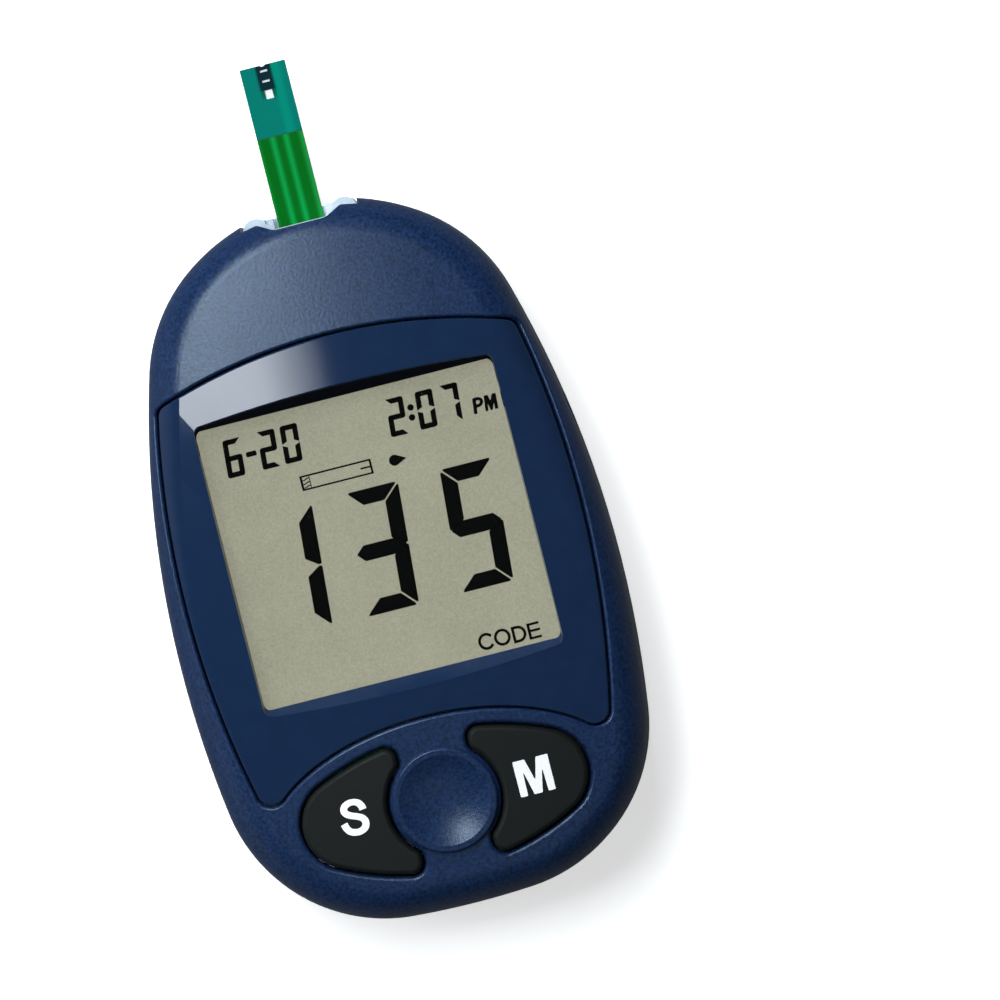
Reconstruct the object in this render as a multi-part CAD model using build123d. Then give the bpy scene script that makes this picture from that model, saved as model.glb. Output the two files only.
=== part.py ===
from build123d import *
from math import atan2, cos, degrees, radians, sin, tan
import os

# Blood glucose meter with a test strip in its port. Millimetres, +Z out of the display, +Y towards
# the strip port, +X to the user's right. The origin is the middle of the housing on its rear face.

# ---- housing ----
shell_length = 103.6
shell_width = 65.0
shell_thickness = 21.0
widest_from_bottom = 43.0  # height of the widest section above the bottom end
wall = 1.8
parting_height = 9.5  # the two shells meet in this plane
front_edge_radius = 5.5
rear_edge_radius = 4.0
crown_across = 186.0  # radius of the front surface from side to side
crown_along = 400.0  # radius of the front surface from end to end
lip_height = 1.2
lip_gap = 0.1
seam_size = 0.35

# The plan outline is a closed chain of tangent arcs: side, corner, end, on each half.
lower_corner_radius = 24.1
lower_side_turn = 7.9
lower_corner_turn = 86.0
upper_corner_radius = 24.6
upper_side_turn = 16.1
upper_corner_turn = 56.0

# ---- display panel ----
panel_side_radius = 134.0
panel_side_margin = 3.3  # from the housing's widest section to the panel's
panel_top_margin = 19.5  # from the housing's top end
panel_top_radius = 80.5
panel_corner_radius = 1.8
panel_bottom_margin = 27.95  # the lower edge follows the top of an oval round the keys
panel_oval_margin = 2.2  # from the panel's side to the oval's
panel_oval_along = 14.9
panel_lobe_radius = 2.1
panel_thickness = 2.0
panel_inset = 0.1  # how far the panel lies under the crown
panel_edge_radius = 0.25
pocket_edge_radius = 0.4
groove = 0.3  # open groove round the panel
pocket_floor_thickness = 1.4
pocket_floor_margin = 0.8
seat_gap = 0.05  # glued and clamped faces
window_side_margin = 7.25  # from the panel's edge to the window
window_top_margin = 8.8
window_bottom_margin = 6.15
window_depth = 3.0  # crown to lens
window_land = 0.15  # upright part of the window wall
window_end_draft = 42.0
window_side_draft = 10.0
window_corner_radius = 1.0
window_block_wall = 1.2

# ---- lens and display stack ----
lens_thickness = 1.0
lens_overlap = 1.2
lens_gap = 0.1
glass_air_gap = 0.2
glass_thickness = 1.1
glass_side_overlap = 1.4
rear_glass_end_overlap = 0.6
contact_ledge = 2.0
reflector_thickness = 0.2
frame_height = 1.8
frame_wall = 1.6
frame_ledge = 1.4
zebra_width = 1.5
zebra_end_margin = 2.85
zebra_gap = 0.15

# ---- keys ----
keys_from_bottom = 15.5  # middle of the keys over the housing's bottom end
key_point_margin = 6.49  # from the housing's widest section to where a key's two arcs meet
key_point_rise = 0.67  # of that point over the middle of the keys
key_apex_x = 0.21  # where the arcs are farthest apart, out from the meter's middle plane
keys_half_height = 9.8
key_tip_radius = 6.5
key_ring_gap = 0.75  # between the dish's ring and the hollow side of a key
key_inner_x = 5.3
key_corner_radius = 1.6
key_cusp_radius = 1.2
key_height = 0.75  # above the crown
key_top_radius = 0.7
key_gap = 0.3
key_hole_edge_radius = 0.6
key_flange = 1.1
key_flange_thickness = 1.0
key_flange_gap = 0.15
key_travel = 0.7
key_travel_clearance = 0.1
key_plunger_from_point = 11.81
key_plunger_radius = 3.0
pill_radius = 2.5
pill_thickness = 0.5
sheet_thickness = 0.4
sheet_margin = 2.0
sheet_collar_height = 0.5
sheet_collar_wall = 0.8
sheet_hole_gap = 0.8

# ---- dish between the keys ----
dish_radius = 6.6
dish_depth = 1.2
dish_ring_radius = 7.6
dish_ring_height = 0.5
dish_ring_edge = 0.4

# ---- circuit board ----
board_thickness = 1.2
board_gap = 1.0
chip_height = 1.4
chip_size = 10.0
chip_place = (-6.0, 37.8)  # across, and down from the housing's top end
amplifier_length = 5.0
amplifier_width = 4.0
amplifier_height = 1.3
amplifier_place = (6.0, 42.8)
crystal_length = 7.0
crystal_width = 2.2
crystal_height = 2.0
crystal_place = (-6.0, 28.8)
resistor_length = 1.6
resistor_width = 0.8
resistor_height = 0.6
resistor_pitch = 2.6
resistor_count = 5
resistor_place = (6.0, 48.8)
buzzer_radius = 6.0
buzzer_height = 2.2
buzzer_port_radius = 0.9
buzzer_place = (8.0, 31.8)

# ---- screws ----
screw_upper_margins = (6.82, 15.3)  # from the side wall level with it, and from the top end
screw_lower_margins = (5.72, 22.8)  # from the side wall and from the bottom end
screw_radius = 1.0
screw_length = 8.0
screw_head_radius = 1.9
screw_head_height = 1.4
screw_head_depth = 5.5  # seat above the rear face
screw_thread_gap = 0.03
screw_hole_gap = 0.15
screw_recess_gap = 0.3
screw_slot_width = 0.5
screw_slot_depth = 0.6
boss_wall = 1.5
boss_board_gap = 0.4
board_screw_margins = (5.57, 22.3)
board_screw_radius = 0.8
board_screw_length = 3.5
board_screw_head_radius = 1.6
board_screw_head_height = 0.9

# ---- test strip and its port ----
strip_width = 6.7
strip_length = 36.5
strip_out = 23.6  # from the mouth of the port to the tip
strip_base_thickness = 0.35
strip_film_thickness = 0.12
strip_tip_length = 10.35
strip_print_length = 13.7
strip_film_joint = 0.1
strip_track_width = 1.2
strip_track_pitch = 2.1
strip_track_thickness = 0.05
strip_vent_width = 1.1
strip_vent_length = 1.3
strip_vent_from_tip = 3.65
strip_slit_length = 0.3
strip_slits_from_tip = (0.85, 2.35)
strip_notch_depth = 0.2
strip_below_board = 1.2
port_flat_from_top = 1.65  # the housing's end is cut here
port_flat_fall = 0.5  # the cut falls away towards its two ends
port_width = 17.0
port_height = 5.8
port_depth = 6.4
port_gap = 0.15
port_flange = 1.2
port_flange_thickness = 1.2
port_ear_reach = 1.0  # ears stand this far past the cut end
port_ear_inner_x = 5.0
port_ear_top = (6.0, 7.1)  # flat part of an ear's outline
port_ear_slope = 0.5
port_ear_radius = 1.2
port_web_reach = 0.5
port_web_drop = 1.4
port_rim_width = 0.45
port_slot_side_gap = 0.3
port_slot_gap = 0.25
notch_depth = 1.3
notch_floor_width = 7.8
notch_top_width = 12.4
notch_floor_radius = 2.4
notch_crest_radius = 0.9
port_jaw_reach = 0.2
connector_width = 12.0
connector_length = 9.0
connector_floor = 1.2
connector_stop = 1.5
contact_width = 0.9
contact_thickness = 0.25
contact_gap = 0.05
contact_rise = 0.7
strip_side_gap = 0.15

# ---- code chip, left side ----
chip_key_width = 12.0
chip_key_height = 3.6
chip_key_length = 12.0
chip_key_from_top = 37.8
chip_key_above_rear = 5.6
chip_key_gap = 0.2
chip_key_groove = 0.5
chip_socket_length = 5.0
chip_pin_thickness = 0.3
chip_pin_width = 0.8
chip_pin_pitch = 1.6
chip_pin_count = 6
chip_pin_reach = 3.0

# ---- data socket, right side ----
data_from_top = 37.8
data_bore_radius = 1.3
data_bore_length = 9.0
data_nose_radius = 2.3
data_nose_gap = 0.2
data_nose_recess = 0.4
data_body_width = 7.0
data_body_length = 9.0
data_nose_length = 3.0
data_axis_below_board = 2.8
data_body_floor = 1.3

# ---- battery bay and door ----
cell_radius = 10.0
cell_thickness = 3.2
cell_cap_radius = 8.6
cell_cap_height = 0.35
cell_from_bottom = 34.8
cell_side_gap = 0.3
cell_end_gap = 0.05
door_width = 25.0
door_length = 31.0
door_thickness = 1.6
door_recess = 0.15
door_gap = 0.2
door_corner_radius = 2.5
door_hinge_radius = 1.3
door_pin_radius = 0.8
door_pin_length = 1.6
door_pin_gap = 0.06
door_pin_end_gap = 0.2
door_rib_width = 1.0
door_rib_length = 12.0
door_rib_spacing = 10.0
latch_width = 8.0
latch_slot_width = 0.9
latch_slot_length = 5.0
latch_bump_height = 0.12
latch_bump_length = 4.0
grip_width = 12.0
grip_length = 4.0
grip_depth = 1.1
bay_wall = 1.5
bay_roof = 1.0
spring_thickness = 0.3
spring_width = 5.0
spring_length = 11.0
spring_drop = 0.5
spring_bump_radius = 1.4
tail_width = 2.5
tail_slot_gap = 0.25
plus_blade_width = 5.0
plus_gap = 0.05

# ---- rear label recess ----
label_width = 36.0
label_height = 24.0
label_from_top = 29.8
label_depth = 0.25
label_corner_radius = 3.0

# ---- values that follow ----
bottom_y = -shell_length / 2
top_y = shell_length / 2
widest_y = bottom_y + widest_from_bottom
span = 2 * (shell_length + shell_width + shell_thickness)
panel_half_width = shell_width / 2 - panel_side_margin
panel_top = top_y - panel_top_margin
panel_oval_top = bottom_y + panel_bottom_margin
panel_oval_across = panel_half_width - panel_oval_margin
window_width = 2 * (panel_half_width - window_side_margin)
window_high_y = panel_top - window_top_margin
window_low_y = panel_oval_top + window_bottom_margin
window_height = window_high_y - window_low_y
window_middle_y = (window_high_y + window_low_y) / 2
keys_middle_y = bottom_y + keys_from_bottom
key_point_x = shell_width / 2 - key_point_margin
key_plunger_x = key_point_x - key_plunger_from_point
cell_y = bottom_y + cell_from_bottom
label_middle_y = top_y - label_from_top
chip_key_y = top_y - chip_key_from_top
data_y = top_y - data_from_top
lens_top = shell_thickness - window_depth
lens_bottom = lens_top - lens_thickness
front_glass_top = lens_bottom - glass_air_gap
front_glass_bottom = front_glass_top - glass_thickness
rear_glass_bottom = front_glass_bottom - glass_thickness
reflector_bottom = rear_glass_bottom - reflector_thickness
board_top = reflector_bottom - frame_height
board_bottom = board_top - board_thickness
strip_top = board_bottom - strip_below_board
strip_bottom = strip_top - strip_film_thickness - strip_base_thickness
port_flat_y = top_y - port_flat_from_top
mouth_y = port_flat_y - notch_depth
strip_tip_y = mouth_y + strip_out
strip_end_y = strip_tip_y - strip_length
glass_width = window_width + 2 * glass_side_overlap
zebra_length = glass_width - 2 * zebra_end_margin
rear_glass_height = window_height + 2 * rear_glass_end_overlap
front_glass_height = rear_glass_height + 2 * contact_ledge
lens_size = (window_width + 2 * lens_overlap, window_height + 2 * lens_overlap)
block_size = tuple(side + 2 * window_block_wall for side in lens_size)
panel_drop = panel_inset + panel_thickness
pocket_drop = panel_drop + seat_gap
pill_bottom = board_top + key_travel + key_travel_clearance
cell_bottom = door_recess + door_thickness + door_rib_width / 2 + cell_end_gap
cell_top = cell_bottom + cell_thickness
bay_ceiling = cell_top + spring_drop + spring_thickness
bay_top = bay_ceiling + bay_roof
door_top_y = cell_y + door_length / 2
door_bottom_y = cell_y - door_length / 2
hinge_y = door_top_y - door_hinge_radius
hinge_z = door_recess + door_hinge_radius
guide_back_y = port_flat_y - port_depth


def block(size_x, size_y, low_z, high_z, x=0.0, y=0.0):
    """Upright block centred on x, y between two heights."""
    return Pos(x, y, low_z) * Box(
        size_x, size_y, high_z - low_z, align=(Align.CENTER, Align.CENTER, Align.MIN)
    )


def rod(radius, low_z, high_z, x=0.0, y=0.0):
    """Upright cylinder between two heights."""
    return Pos(x, y, low_z) * Cylinder(
        radius, high_z - low_z, align=(Align.CENTER, Align.CENTER, Align.MIN)
    )


def plate(face, low_z, high_z):
    """Flat outline pulled up between two heights."""
    return Pos(0, 0, low_z) * extrude(face, high_z - low_z)


def rounded_plate(size_x, size_y, radius, low_z, high_z, x=0.0, y=0.0):
    """Upright block with rounded upright edges."""
    return plate(Pos(x, y) * RectangleRounded(size_x, size_y, radius), low_z, high_z)


def in_pairs(solid):
    """A solid and its mirror image across the meter's middle plane."""
    return [solid, mirror(solid, Plane.YZ)]


def joined(base, pieces):
    for piece in pieces:
        base = base + piece
    return base


def pierced(base, pieces):
    for piece in pieces:
        base = base - piece
    return base


# ---- the housing's form ----
def half_outline(reach, corner_radius, side_turn, corner_turn):
    """Tangent arcs from the widest point on the right, over the end, to the widest point on the left."""
    half_width = shell_width / 2
    turn_a, turn_b = radians(side_turn), radians(corner_turn)
    x_left = half_width - corner_radius * (cos(turn_a) - cos(turn_b))
    y_left = reach - corner_radius * (sin(turn_b) - sin(turn_a))
    across = (1 - cos(turn_a)) * (1 - sin(turn_b)) - cos(turn_b) * sin(turn_a)
    side_radius = (x_left * (1 - sin(turn_b)) - cos(turn_b) * y_left) / across
    end_radius = ((1 - cos(turn_a)) * y_left - sin(turn_a) * x_left) / across
    side_x = half_width - side_radius
    corner_x = side_x + (side_radius - corner_radius) * cos(turn_a)
    corner_y = (side_radius - corner_radius) * sin(turn_a)
    between = corner_turn - side_turn
    return [
        CenterArc((side_x, 0), side_radius, 0, side_turn),
        CenterArc((corner_x, corner_y), corner_radius, side_turn, between),
        CenterArc((0, reach - end_radius), end_radius, corner_turn, 180 - 2 * corner_turn),
        CenterArc((-corner_x, corner_y), corner_radius, 180 - corner_turn, between),
        CenterArc((-side_x, 0), side_radius, 180 - side_turn, side_turn),
    ]


def housing_outline():
    upper = half_outline(
        top_y - widest_y, upper_corner_radius, upper_side_turn, upper_corner_turn
    )
    lower = half_outline(
        widest_from_bottom, lower_corner_radius, lower_side_turn, lower_corner_turn
    )
    edges = [Pos(0, widest_y) * edge for edge in upper]
    edges += [Pos(0, widest_y) * Rot(0, 0, 180) * edge for edge in lower]
    return make_face(edges)


def under_crown(drop):
    """Everything under the crowned front surface once that is lowered by drop."""
    reach_x, reach_y = 0.75 * shell_width, 0.75 * shell_length
    fall_x = reach_x**2 / (2 * crown_across)
    fall_y = reach_y**2 / (2 * crown_along)
    top = shell_thickness - drop
    net = [
        [(x * reach_x, y * reach_y, top + rise_x * fall_x + rise_y * fall_y) for y, rise_y in bow]
        for bow in [((-1, -1), (0, 1), (1, -1))]
        for x, rise_x in bow
    ]
    return extrude(Face.make_bezier_surface(net), 3 * shell_thickness, dir=(0, 0, -1))


def housing_form(inset):
    """The closed housing, moved in by inset on every side."""
    face = housing_outline()
    if inset:
        face = offset(face, -inset)
    form = plate(face, inset, shell_thickness) & under_crown(inset)
    top_edges = form.faces().sort_by(Axis.Z)[-1].edges()
    form = fillet(top_edges, front_edge_radius - inset)
    rear_edges = form.faces().sort_by(Axis.Z)[0].edges()
    return fillet(rear_edges, rear_edge_radius - inset)


def lowered(form, drop):
    return Pos(0, 0, -drop) * form


def rim_edges(solid, outline, skin):
    """Edges where upright sides with this plan outline meet the skin of a form."""
    wire = outline.wires()[0]
    surface = skin.shells()[0]
    found = []
    for edge in solid.edges():
        middle = edge @ 0.5
        off_plan = Vertex(middle.X, middle.Y, 0).distance_to(wire)
        if off_plan < 0.01 and surface.distance_to(Vertex(middle)) < 0.01:
            found.append(edge)
    return found


def crown_height(x, y):
    """Height of the crowned front surface above the rear face."""
    return shell_thickness - x**2 / (2 * crown_across) - y**2 / (2 * crown_along)


# ---- plan outlines ----
def arc_radius(half_chord, rise):
    return (half_chord**2 + rise**2) / (2 * rise)


def key_outline(side, grow=0.0):
    """Left key for side -1, right key for side +1: a leaf that is hollowed round the dish, grown all round."""
    run = key_point_x - key_apex_x
    upper = arc_radius(run, keys_half_height - key_point_rise)
    lower = arc_radius(run, keys_half_height + key_point_rise)
    low_arc = Pos(-key_apex_x, keys_middle_y - keys_half_height + lower) * Circle(lower + grow)
    leaf = Pos(-key_apex_x, keys_middle_y + keys_half_height - upper) * Circle(upper + grow) & low_arc
    leaf = fillet(leaf.vertices().sort_by(Axis.X)[0], key_tip_radius + grow)
    leaf = leaf & Pos(-span / 2 - key_inner_x + grow, keys_middle_y) * Rectangle(span, span)
    leaf = leaf - Pos(0, keys_middle_y) * Circle(dish_ring_radius + key_ring_gap - grow)
    corners = leaf.vertices().sort_by(Axis.X)[-4:].sort_by(Axis.Y)
    leaf = fillet(corners[1:3], key_cusp_radius + grow)
    inner = leaf.bounding_box().max.X
    corners = leaf.vertices().filter_by(lambda v: v.X > inner - 0.01).sort_by(Axis.Y)
    leaf = fillet([corners[0], corners[-1]], key_corner_radius + grow)
    return leaf if side < 0 else mirror(leaf, Plane.YZ)


def panel_field(grow):
    """Display panel in plan with sharp corners: two side arcs, a top arc and an oval over the keys."""
    side, top = panel_side_radius + grow, panel_top_radius + grow
    left = Pos(panel_side_radius - panel_half_width, 0) * Circle(side)
    right = Pos(panel_half_width - panel_side_radius, 0) * Circle(side)
    upper = Pos(0, panel_top - panel_top_radius) * Circle(top)
    oval_y = panel_oval_top - panel_oval_along
    above = Pos(0, oval_y + span / 2) * Rectangle(span, span)
    oval = Pos(0, oval_y) * Ellipse(panel_oval_across - grow, panel_oval_along - grow)
    return (left & right & upper & above) - oval


def panel_outline(grow):
    """Display panel in plan with its corners rounded, grown all round."""
    face = panel_field(grow)
    corners = face.vertices().sort_by(Axis.Y)[-2:]
    face = fillet(corners, panel_corner_radius + grow)
    lobes = face.vertices().sort_by(Axis.Y)[:2]
    return fillet(lobes, panel_lobe_radius + grow)


def pocket_floor_outline(opening):
    """The floor reaches past the opening all round, into the wall."""
    low_y = opening.bounding_box().min.Y - pocket_floor_margin
    return panel_field(groove + pocket_floor_margin) & Pos(0, low_y + span / 2) * Rectangle(span, span)


def window_frame_block(size, low_z, high_z):
    return block(*size, low_z, high_z, y=window_middle_y)


# ---- display ----
def window_well():
    """Opening in the panel: an upright land over the lens, then walls that lean out."""
    land_top = lens_top + window_land
    rise = shell_thickness + panel_inset - land_top
    out_x = rise * tan(radians(window_side_draft))
    out_y = rise * tan(radians(window_end_draft))
    small = Pos(0, window_middle_y, land_top) * Rectangle(window_width, window_height)
    large = Rectangle(window_width + 2 * out_x, window_height + 2 * out_y)
    flare = loft([small, Pos(0, window_middle_y, land_top + rise) * large], ruled=True)
    corners = flare.edges().filter_by(lambda edge: edge.bounding_box().size.Z > rise / 2)
    flare = fillet(corners, window_corner_radius)
    land = extrude(flare.faces().sort_by(Axis.Z)[0], window_land + lens_thickness, dir=(0, 0, -1))
    return flare + land


def display_bezel(form):
    panel = panel_outline(0)
    outer = lowered(form, panel_inset)
    body = plate(panel, parting_height, shell_thickness) & outer
    body = fillet(rim_edges(body, panel, outer), panel_edge_radius)
    skin = body - lowered(form, panel_drop)
    frame = body & window_frame_block(block_size, lens_bottom, shell_thickness)
    bezel = skin + frame
    seat = [side + 2 * lens_gap for side in lens_size]
    display = (glass_width + 2 * lens_gap, front_glass_height + 2 * lens_gap)
    bezel = bezel - window_frame_block(seat, 0, lens_top)
    bezel = bezel - window_frame_block(display, 0, lens_bottom)
    return bezel - window_well()


def window_lens():
    return window_frame_block(lens_size, lens_bottom, lens_top)


def lcd_front_glass():
    return window_frame_block(
        (glass_width, front_glass_height), front_glass_bottom, front_glass_top
    )


def lcd_rear_glass():
    return window_frame_block(
        (glass_width, rear_glass_height), rear_glass_bottom, front_glass_bottom
    )


def lcd_reflector():
    return window_frame_block(
        (glass_width, rear_glass_height), reflector_bottom, rear_glass_bottom
    )


def zebra_offset():
    return rear_glass_height / 2 + zebra_gap + zebra_width / 2


def zebra_strip(side):
    y = window_middle_y + side * zebra_offset()
    return block(zebra_length, zebra_width, board_top, front_glass_bottom, y=y)


def lcd_frame():
    """Tray that carries the glass and stands the two contact strips upright."""
    outer = (glass_width + 2 * frame_wall, front_glass_height + 2 * frame_wall)
    inner = (glass_width - 2 * frame_ledge, rear_glass_height - 2 * frame_ledge)
    tray = window_frame_block(outer, board_top, reflector_bottom)
    tray = tray - window_frame_block(inner, 0, shell_thickness)
    slot = (zebra_length + 2 * zebra_gap, zebra_width + 2 * zebra_gap)
    for side in (-1, 1):
        y = window_middle_y + side * zebra_offset()
        tray = tray - block(*slot, 0, shell_thickness, y=y)
    return pierced(tray, boss_clearance(boss_board_gap) + board_posts(boss_board_gap))


# ---- keys ----
def key_cap(side):
    outline = key_outline(side)
    body = plate(outline, 0, 2 * shell_thickness) & under_crown(-key_height)
    body = fillet(body.faces().sort_by(Axis.Z)[-1].edges(), key_top_radius)
    flange_top = wall + key_flange_gap
    flange_bottom = flange_top + key_flange_thickness
    body = body - under_crown(flange_bottom)
    flange = plate(key_outline(side, key_flange), 0, shell_thickness)
    flange = (flange & under_crown(flange_top)) - under_crown(flange_bottom)
    flange = flange & housing_form(wall + key_flange_gap)
    x = side * key_plunger_x
    pill_top = pill_bottom + pill_thickness
    reach = crown_height(x, keys_middle_y) - flange_top
    plunger = rod(key_plunger_radius, pill_top, reach, x, keys_middle_y)
    return body + flange + plunger


def key_pill(side):
    top = pill_bottom + pill_thickness
    return rod(pill_radius, pill_bottom, top, side * key_plunger_x, keys_middle_y)


def keypad_sheet():
    """Soft sheet on the board with a raised collar round each contact."""
    half = key_plunger_x + key_plunger_radius + sheet_margin + sheet_collar_wall
    size = (2 * half, 2 * (key_plunger_radius + sheet_margin + sheet_collar_wall))
    sheet = rounded_plate(
        *size, sheet_margin, board_top, board_top + sheet_thickness, y=keys_middle_y
    )
    hole = key_plunger_radius + sheet_hole_gap
    collar_top = board_top + sheet_thickness + sheet_collar_height
    for side in (-1, 1):
        x = side * key_plunger_x
        sheet = sheet + rod(hole + sheet_collar_wall, board_top, collar_top, x, keys_middle_y)
    for side in (-1, 1):
        x = side * key_plunger_x
        sheet = sheet - rod(hole, 0, shell_thickness, x, keys_middle_y)
    return sheet


# ---- screws, bosses and posts ----
def from_side(margin, y):
    """Place on the right half, a margin in from the side wall at this height."""
    return housing_half_width(y) - margin, y


def screw_places():
    upper = from_side(screw_upper_margins[0], top_y - screw_upper_margins[1])
    lower = from_side(screw_lower_margins[0], bottom_y + screw_lower_margins[1])
    return [(side * x, y) for x, y in (upper, lower) for side in (-1, 1)]


def board_screw_place():
    return from_side(board_screw_margins[0], top_y - board_screw_margins[1])


def boss_radius():
    return screw_radius + boss_wall


def boss_clearance(gap):
    return [rod(boss_radius() + gap, 0, span, x, y) for x, y in screw_places()]


def board_posts(gap):
    x, y = board_screw_place()
    radius = board_screw_radius + boss_wall / 2 + gap
    return in_pairs(rod(radius, board_top if not gap else 0, shell_thickness, x, y))


def screw(radius, head_radius, head_height, length, seat):
    shank = rod(radius, seat, seat + length)
    head = rod(head_radius, seat - head_height, seat)
    slot = (2 * head_radius + screw_slot_width, screw_slot_width)
    low = seat - head_height
    cross = block(*slot, low, low + screw_slot_depth) + block(
        *reversed(slot), low, low + screw_slot_depth
    )
    inner = rod(head_radius * 0.6, low, low + screw_slot_depth)
    return shank + head - (cross & inner)


def housing_screws():
    one = screw(
        screw_radius, screw_head_radius, screw_head_height, screw_length, screw_head_depth
    )
    return Compound(children=[Pos(x, y, 0) * one for x, y in screw_places()])


def board_screws():
    one = screw(
        board_screw_radius,
        board_screw_head_radius,
        board_screw_head_height,
        board_screw_length,
        board_bottom,
    )
    x, y = board_screw_place()
    return Compound(children=[Pos(side * x, y, 0) * one for side in (-1, 1)])


# ---- shells ----
def dish_place():
    """Centre of the dish on the crown, tipped square to the surface there."""
    tip = degrees(atan2(-keys_middle_y, crown_along))
    return Pos(0, keys_middle_y, crown_height(0, keys_middle_y)) * Rot(tip, 0, 0)


def dish_ring():
    """Disc that stands out of the front between the keys."""
    disc = rod(dish_ring_radius, -wall / 2, dish_ring_height)
    disc = fillet(disc.faces().sort_by(Axis.Z)[-1].edges(), dish_ring_edge)
    return dish_place() * disc


def dish_ball():
    radius = (dish_radius**2 + dish_depth**2) / (2 * dish_depth)
    return dish_place() * Pos(0, 0, dish_ring_height - dish_depth + radius) * Sphere(radius)


def port_end_cut(dip):
    """Cut across the housing's end: two crests, lower towards both ends, and the dip between them."""
    half, crest, floor = port_width / 2 + port_gap, notch_top_width / 2, notch_floor_width / 2
    low, high = port_flat_y - port_flat_fall, top_y + port_flat_fall
    right = [(crest, port_flat_y), (half, low), (half, high)]
    left = [(-x, y) for x, y in reversed(right)]
    middle = [(-floor, mouth_y), (floor, mouth_y)] if dip else []
    sketch = make_face(Polyline(*left, *middle, *right, close=True).edges())
    crests = sketch.vertices().filter_by(lambda v: abs(v.Y - port_flat_y) < port_gap)
    sketch = fillet(crests, notch_crest_radius)
    if dip:
        sketch = fillet(sketch.vertices().sort_by(Axis.Y)[:2], notch_floor_radius)
    return plate(sketch, -span, span)


def port_cut(gap):
    """Space that the strip guide takes in the housing's end, with the flange behind the wall."""
    middle = (strip_top + strip_bottom) / 2
    low, high = middle - port_height / 2 - gap, middle + port_height / 2 + gap
    size = (port_width + 2 * gap, 2 * (top_y - port_flat_y) + port_depth + gap)
    y = guide_back_y - gap + size[1] / 2
    return block(*size, low, high, y=y)


def port_flange_block(gap):
    middle = (strip_top + strip_bottom) / 2
    half = port_height / 2 + port_flange + gap
    size = (port_width + 2 * port_flange + 2 * gap, port_flange_thickness + 2 * gap)
    y = guide_back_y + port_flange_thickness / 2
    return block(*size, middle - half, middle + half, y=y)


def chip_key_box(gap, length):
    """Space of the code chip, open to the left side."""
    left = -housing_half_width(chip_key_y)
    size = (length + 2 * rear_edge_radius, chip_key_width + 2 * gap)
    low = chip_key_above_rear - gap
    high = chip_key_above_rear + chip_key_height + gap
    return block(*size, low, high, left - rear_edge_radius + size[0] / 2 - rear_edge_radius, chip_key_y)


def housing_half_width(y):
    """Half the housing's width at one height, measured on the outline itself."""
    line = housing_outline() & (Pos(0, y) * Rectangle(span, 0.01))
    return line.bounding_box().max.X


def data_axis_z():
    return board_bottom - data_axis_below_board


def side_rod(radius, low_x, high_x, y, z):
    length = high_x - low_x
    return Pos((low_x + high_x) / 2, y, z) * Rot(0, 90, 0) * Cylinder(radius, length)


def seam_groove():
    outer = housing_outline()
    ring = plate(offset(outer, seam_size), parting_height - seam_size / 2, parting_height + seam_size / 2)
    return ring - plate(offset(outer, -seam_size), 0, shell_thickness)


def lip_ring(grow):
    """Upright lip inside the wall: on the rear shell as it is, in the front shell with room round it."""
    middle = -wall / 2 + grow
    inner = -wall - grow
    face = housing_outline()
    top = parting_height + lip_height + grow
    return plate(offset(face, middle), parting_height - lip_height, top) - plate(
        offset(face, inner), 0, shell_thickness
    )


def front_shell(form, cavity):
    opening = panel_outline(groove)
    pocket = plate(opening, parting_height, span) - lowered(form, pocket_drop)
    shell = (form & block(span, span, parting_height, span)) - pocket
    shell = fillet(rim_edges(shell, opening, form), pocket_edge_radius)
    for side in (-1, 1):
        hole = key_outline(side, key_gap)
        shell = shell - plate(hole, 0, span)
        shell = fillet(rim_edges(shell, hole, form), key_hole_edge_radius)
    floor = plate(pocket_floor_outline(opening), parting_height, span) & housing_form(wall / 2)
    floor = floor - lowered(form, pocket_drop + pocket_floor_thickness) - pocket
    shell = (shell - cavity) + floor + dish_ring() - dish_ball()
    bosses = [
        rod(boss_radius(), parting_height, span, x, y) & cavity for x, y in screw_places()
    ]
    shell = joined(shell, bosses + [post & cavity for post in board_posts(0)])
    aperture = (
        block_size[0] + 2 * lens_gap,
        max(block_size[1], front_glass_height) + 2 * lens_gap,
    )
    shell = shell - window_frame_block(aperture, 0, span)
    x, y = board_screw_place()
    thread_top = board_bottom + board_screw_length + screw_recess_gap
    shell = pierced(shell, in_pairs(rod(board_screw_radius + screw_thread_gap, 0, thread_top, x, y)))
    thread_top = screw_head_depth + screw_length + screw_recess_gap
    threads = [rod(screw_radius + screw_thread_gap, 0, thread_top, x, y) for x, y in screw_places()]
    cuts = threads + side_and_end_cuts(True) + [lip_ring(lip_gap), pocket]
    return pierced(shell, cuts)


def side_and_end_cuts(dip):
    """Cuts that both shells share: strip port, code chip slot, data socket hole and seam groove."""
    chip = chip_key_box(chip_key_gap, chip_key_length)
    hole_radius = data_nose_radius + data_nose_gap
    hole = side_rod(hole_radius, shell_width / 4, shell_width, data_y, data_axis_z())
    port = [port_end_cut(dip), port_cut(port_gap), port_flange_block(port_gap)]
    return port + [chip, hole, seam_groove()]


def bay_size():
    return (door_width + 2 * bay_wall, door_length + 2 * bay_wall)


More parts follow.
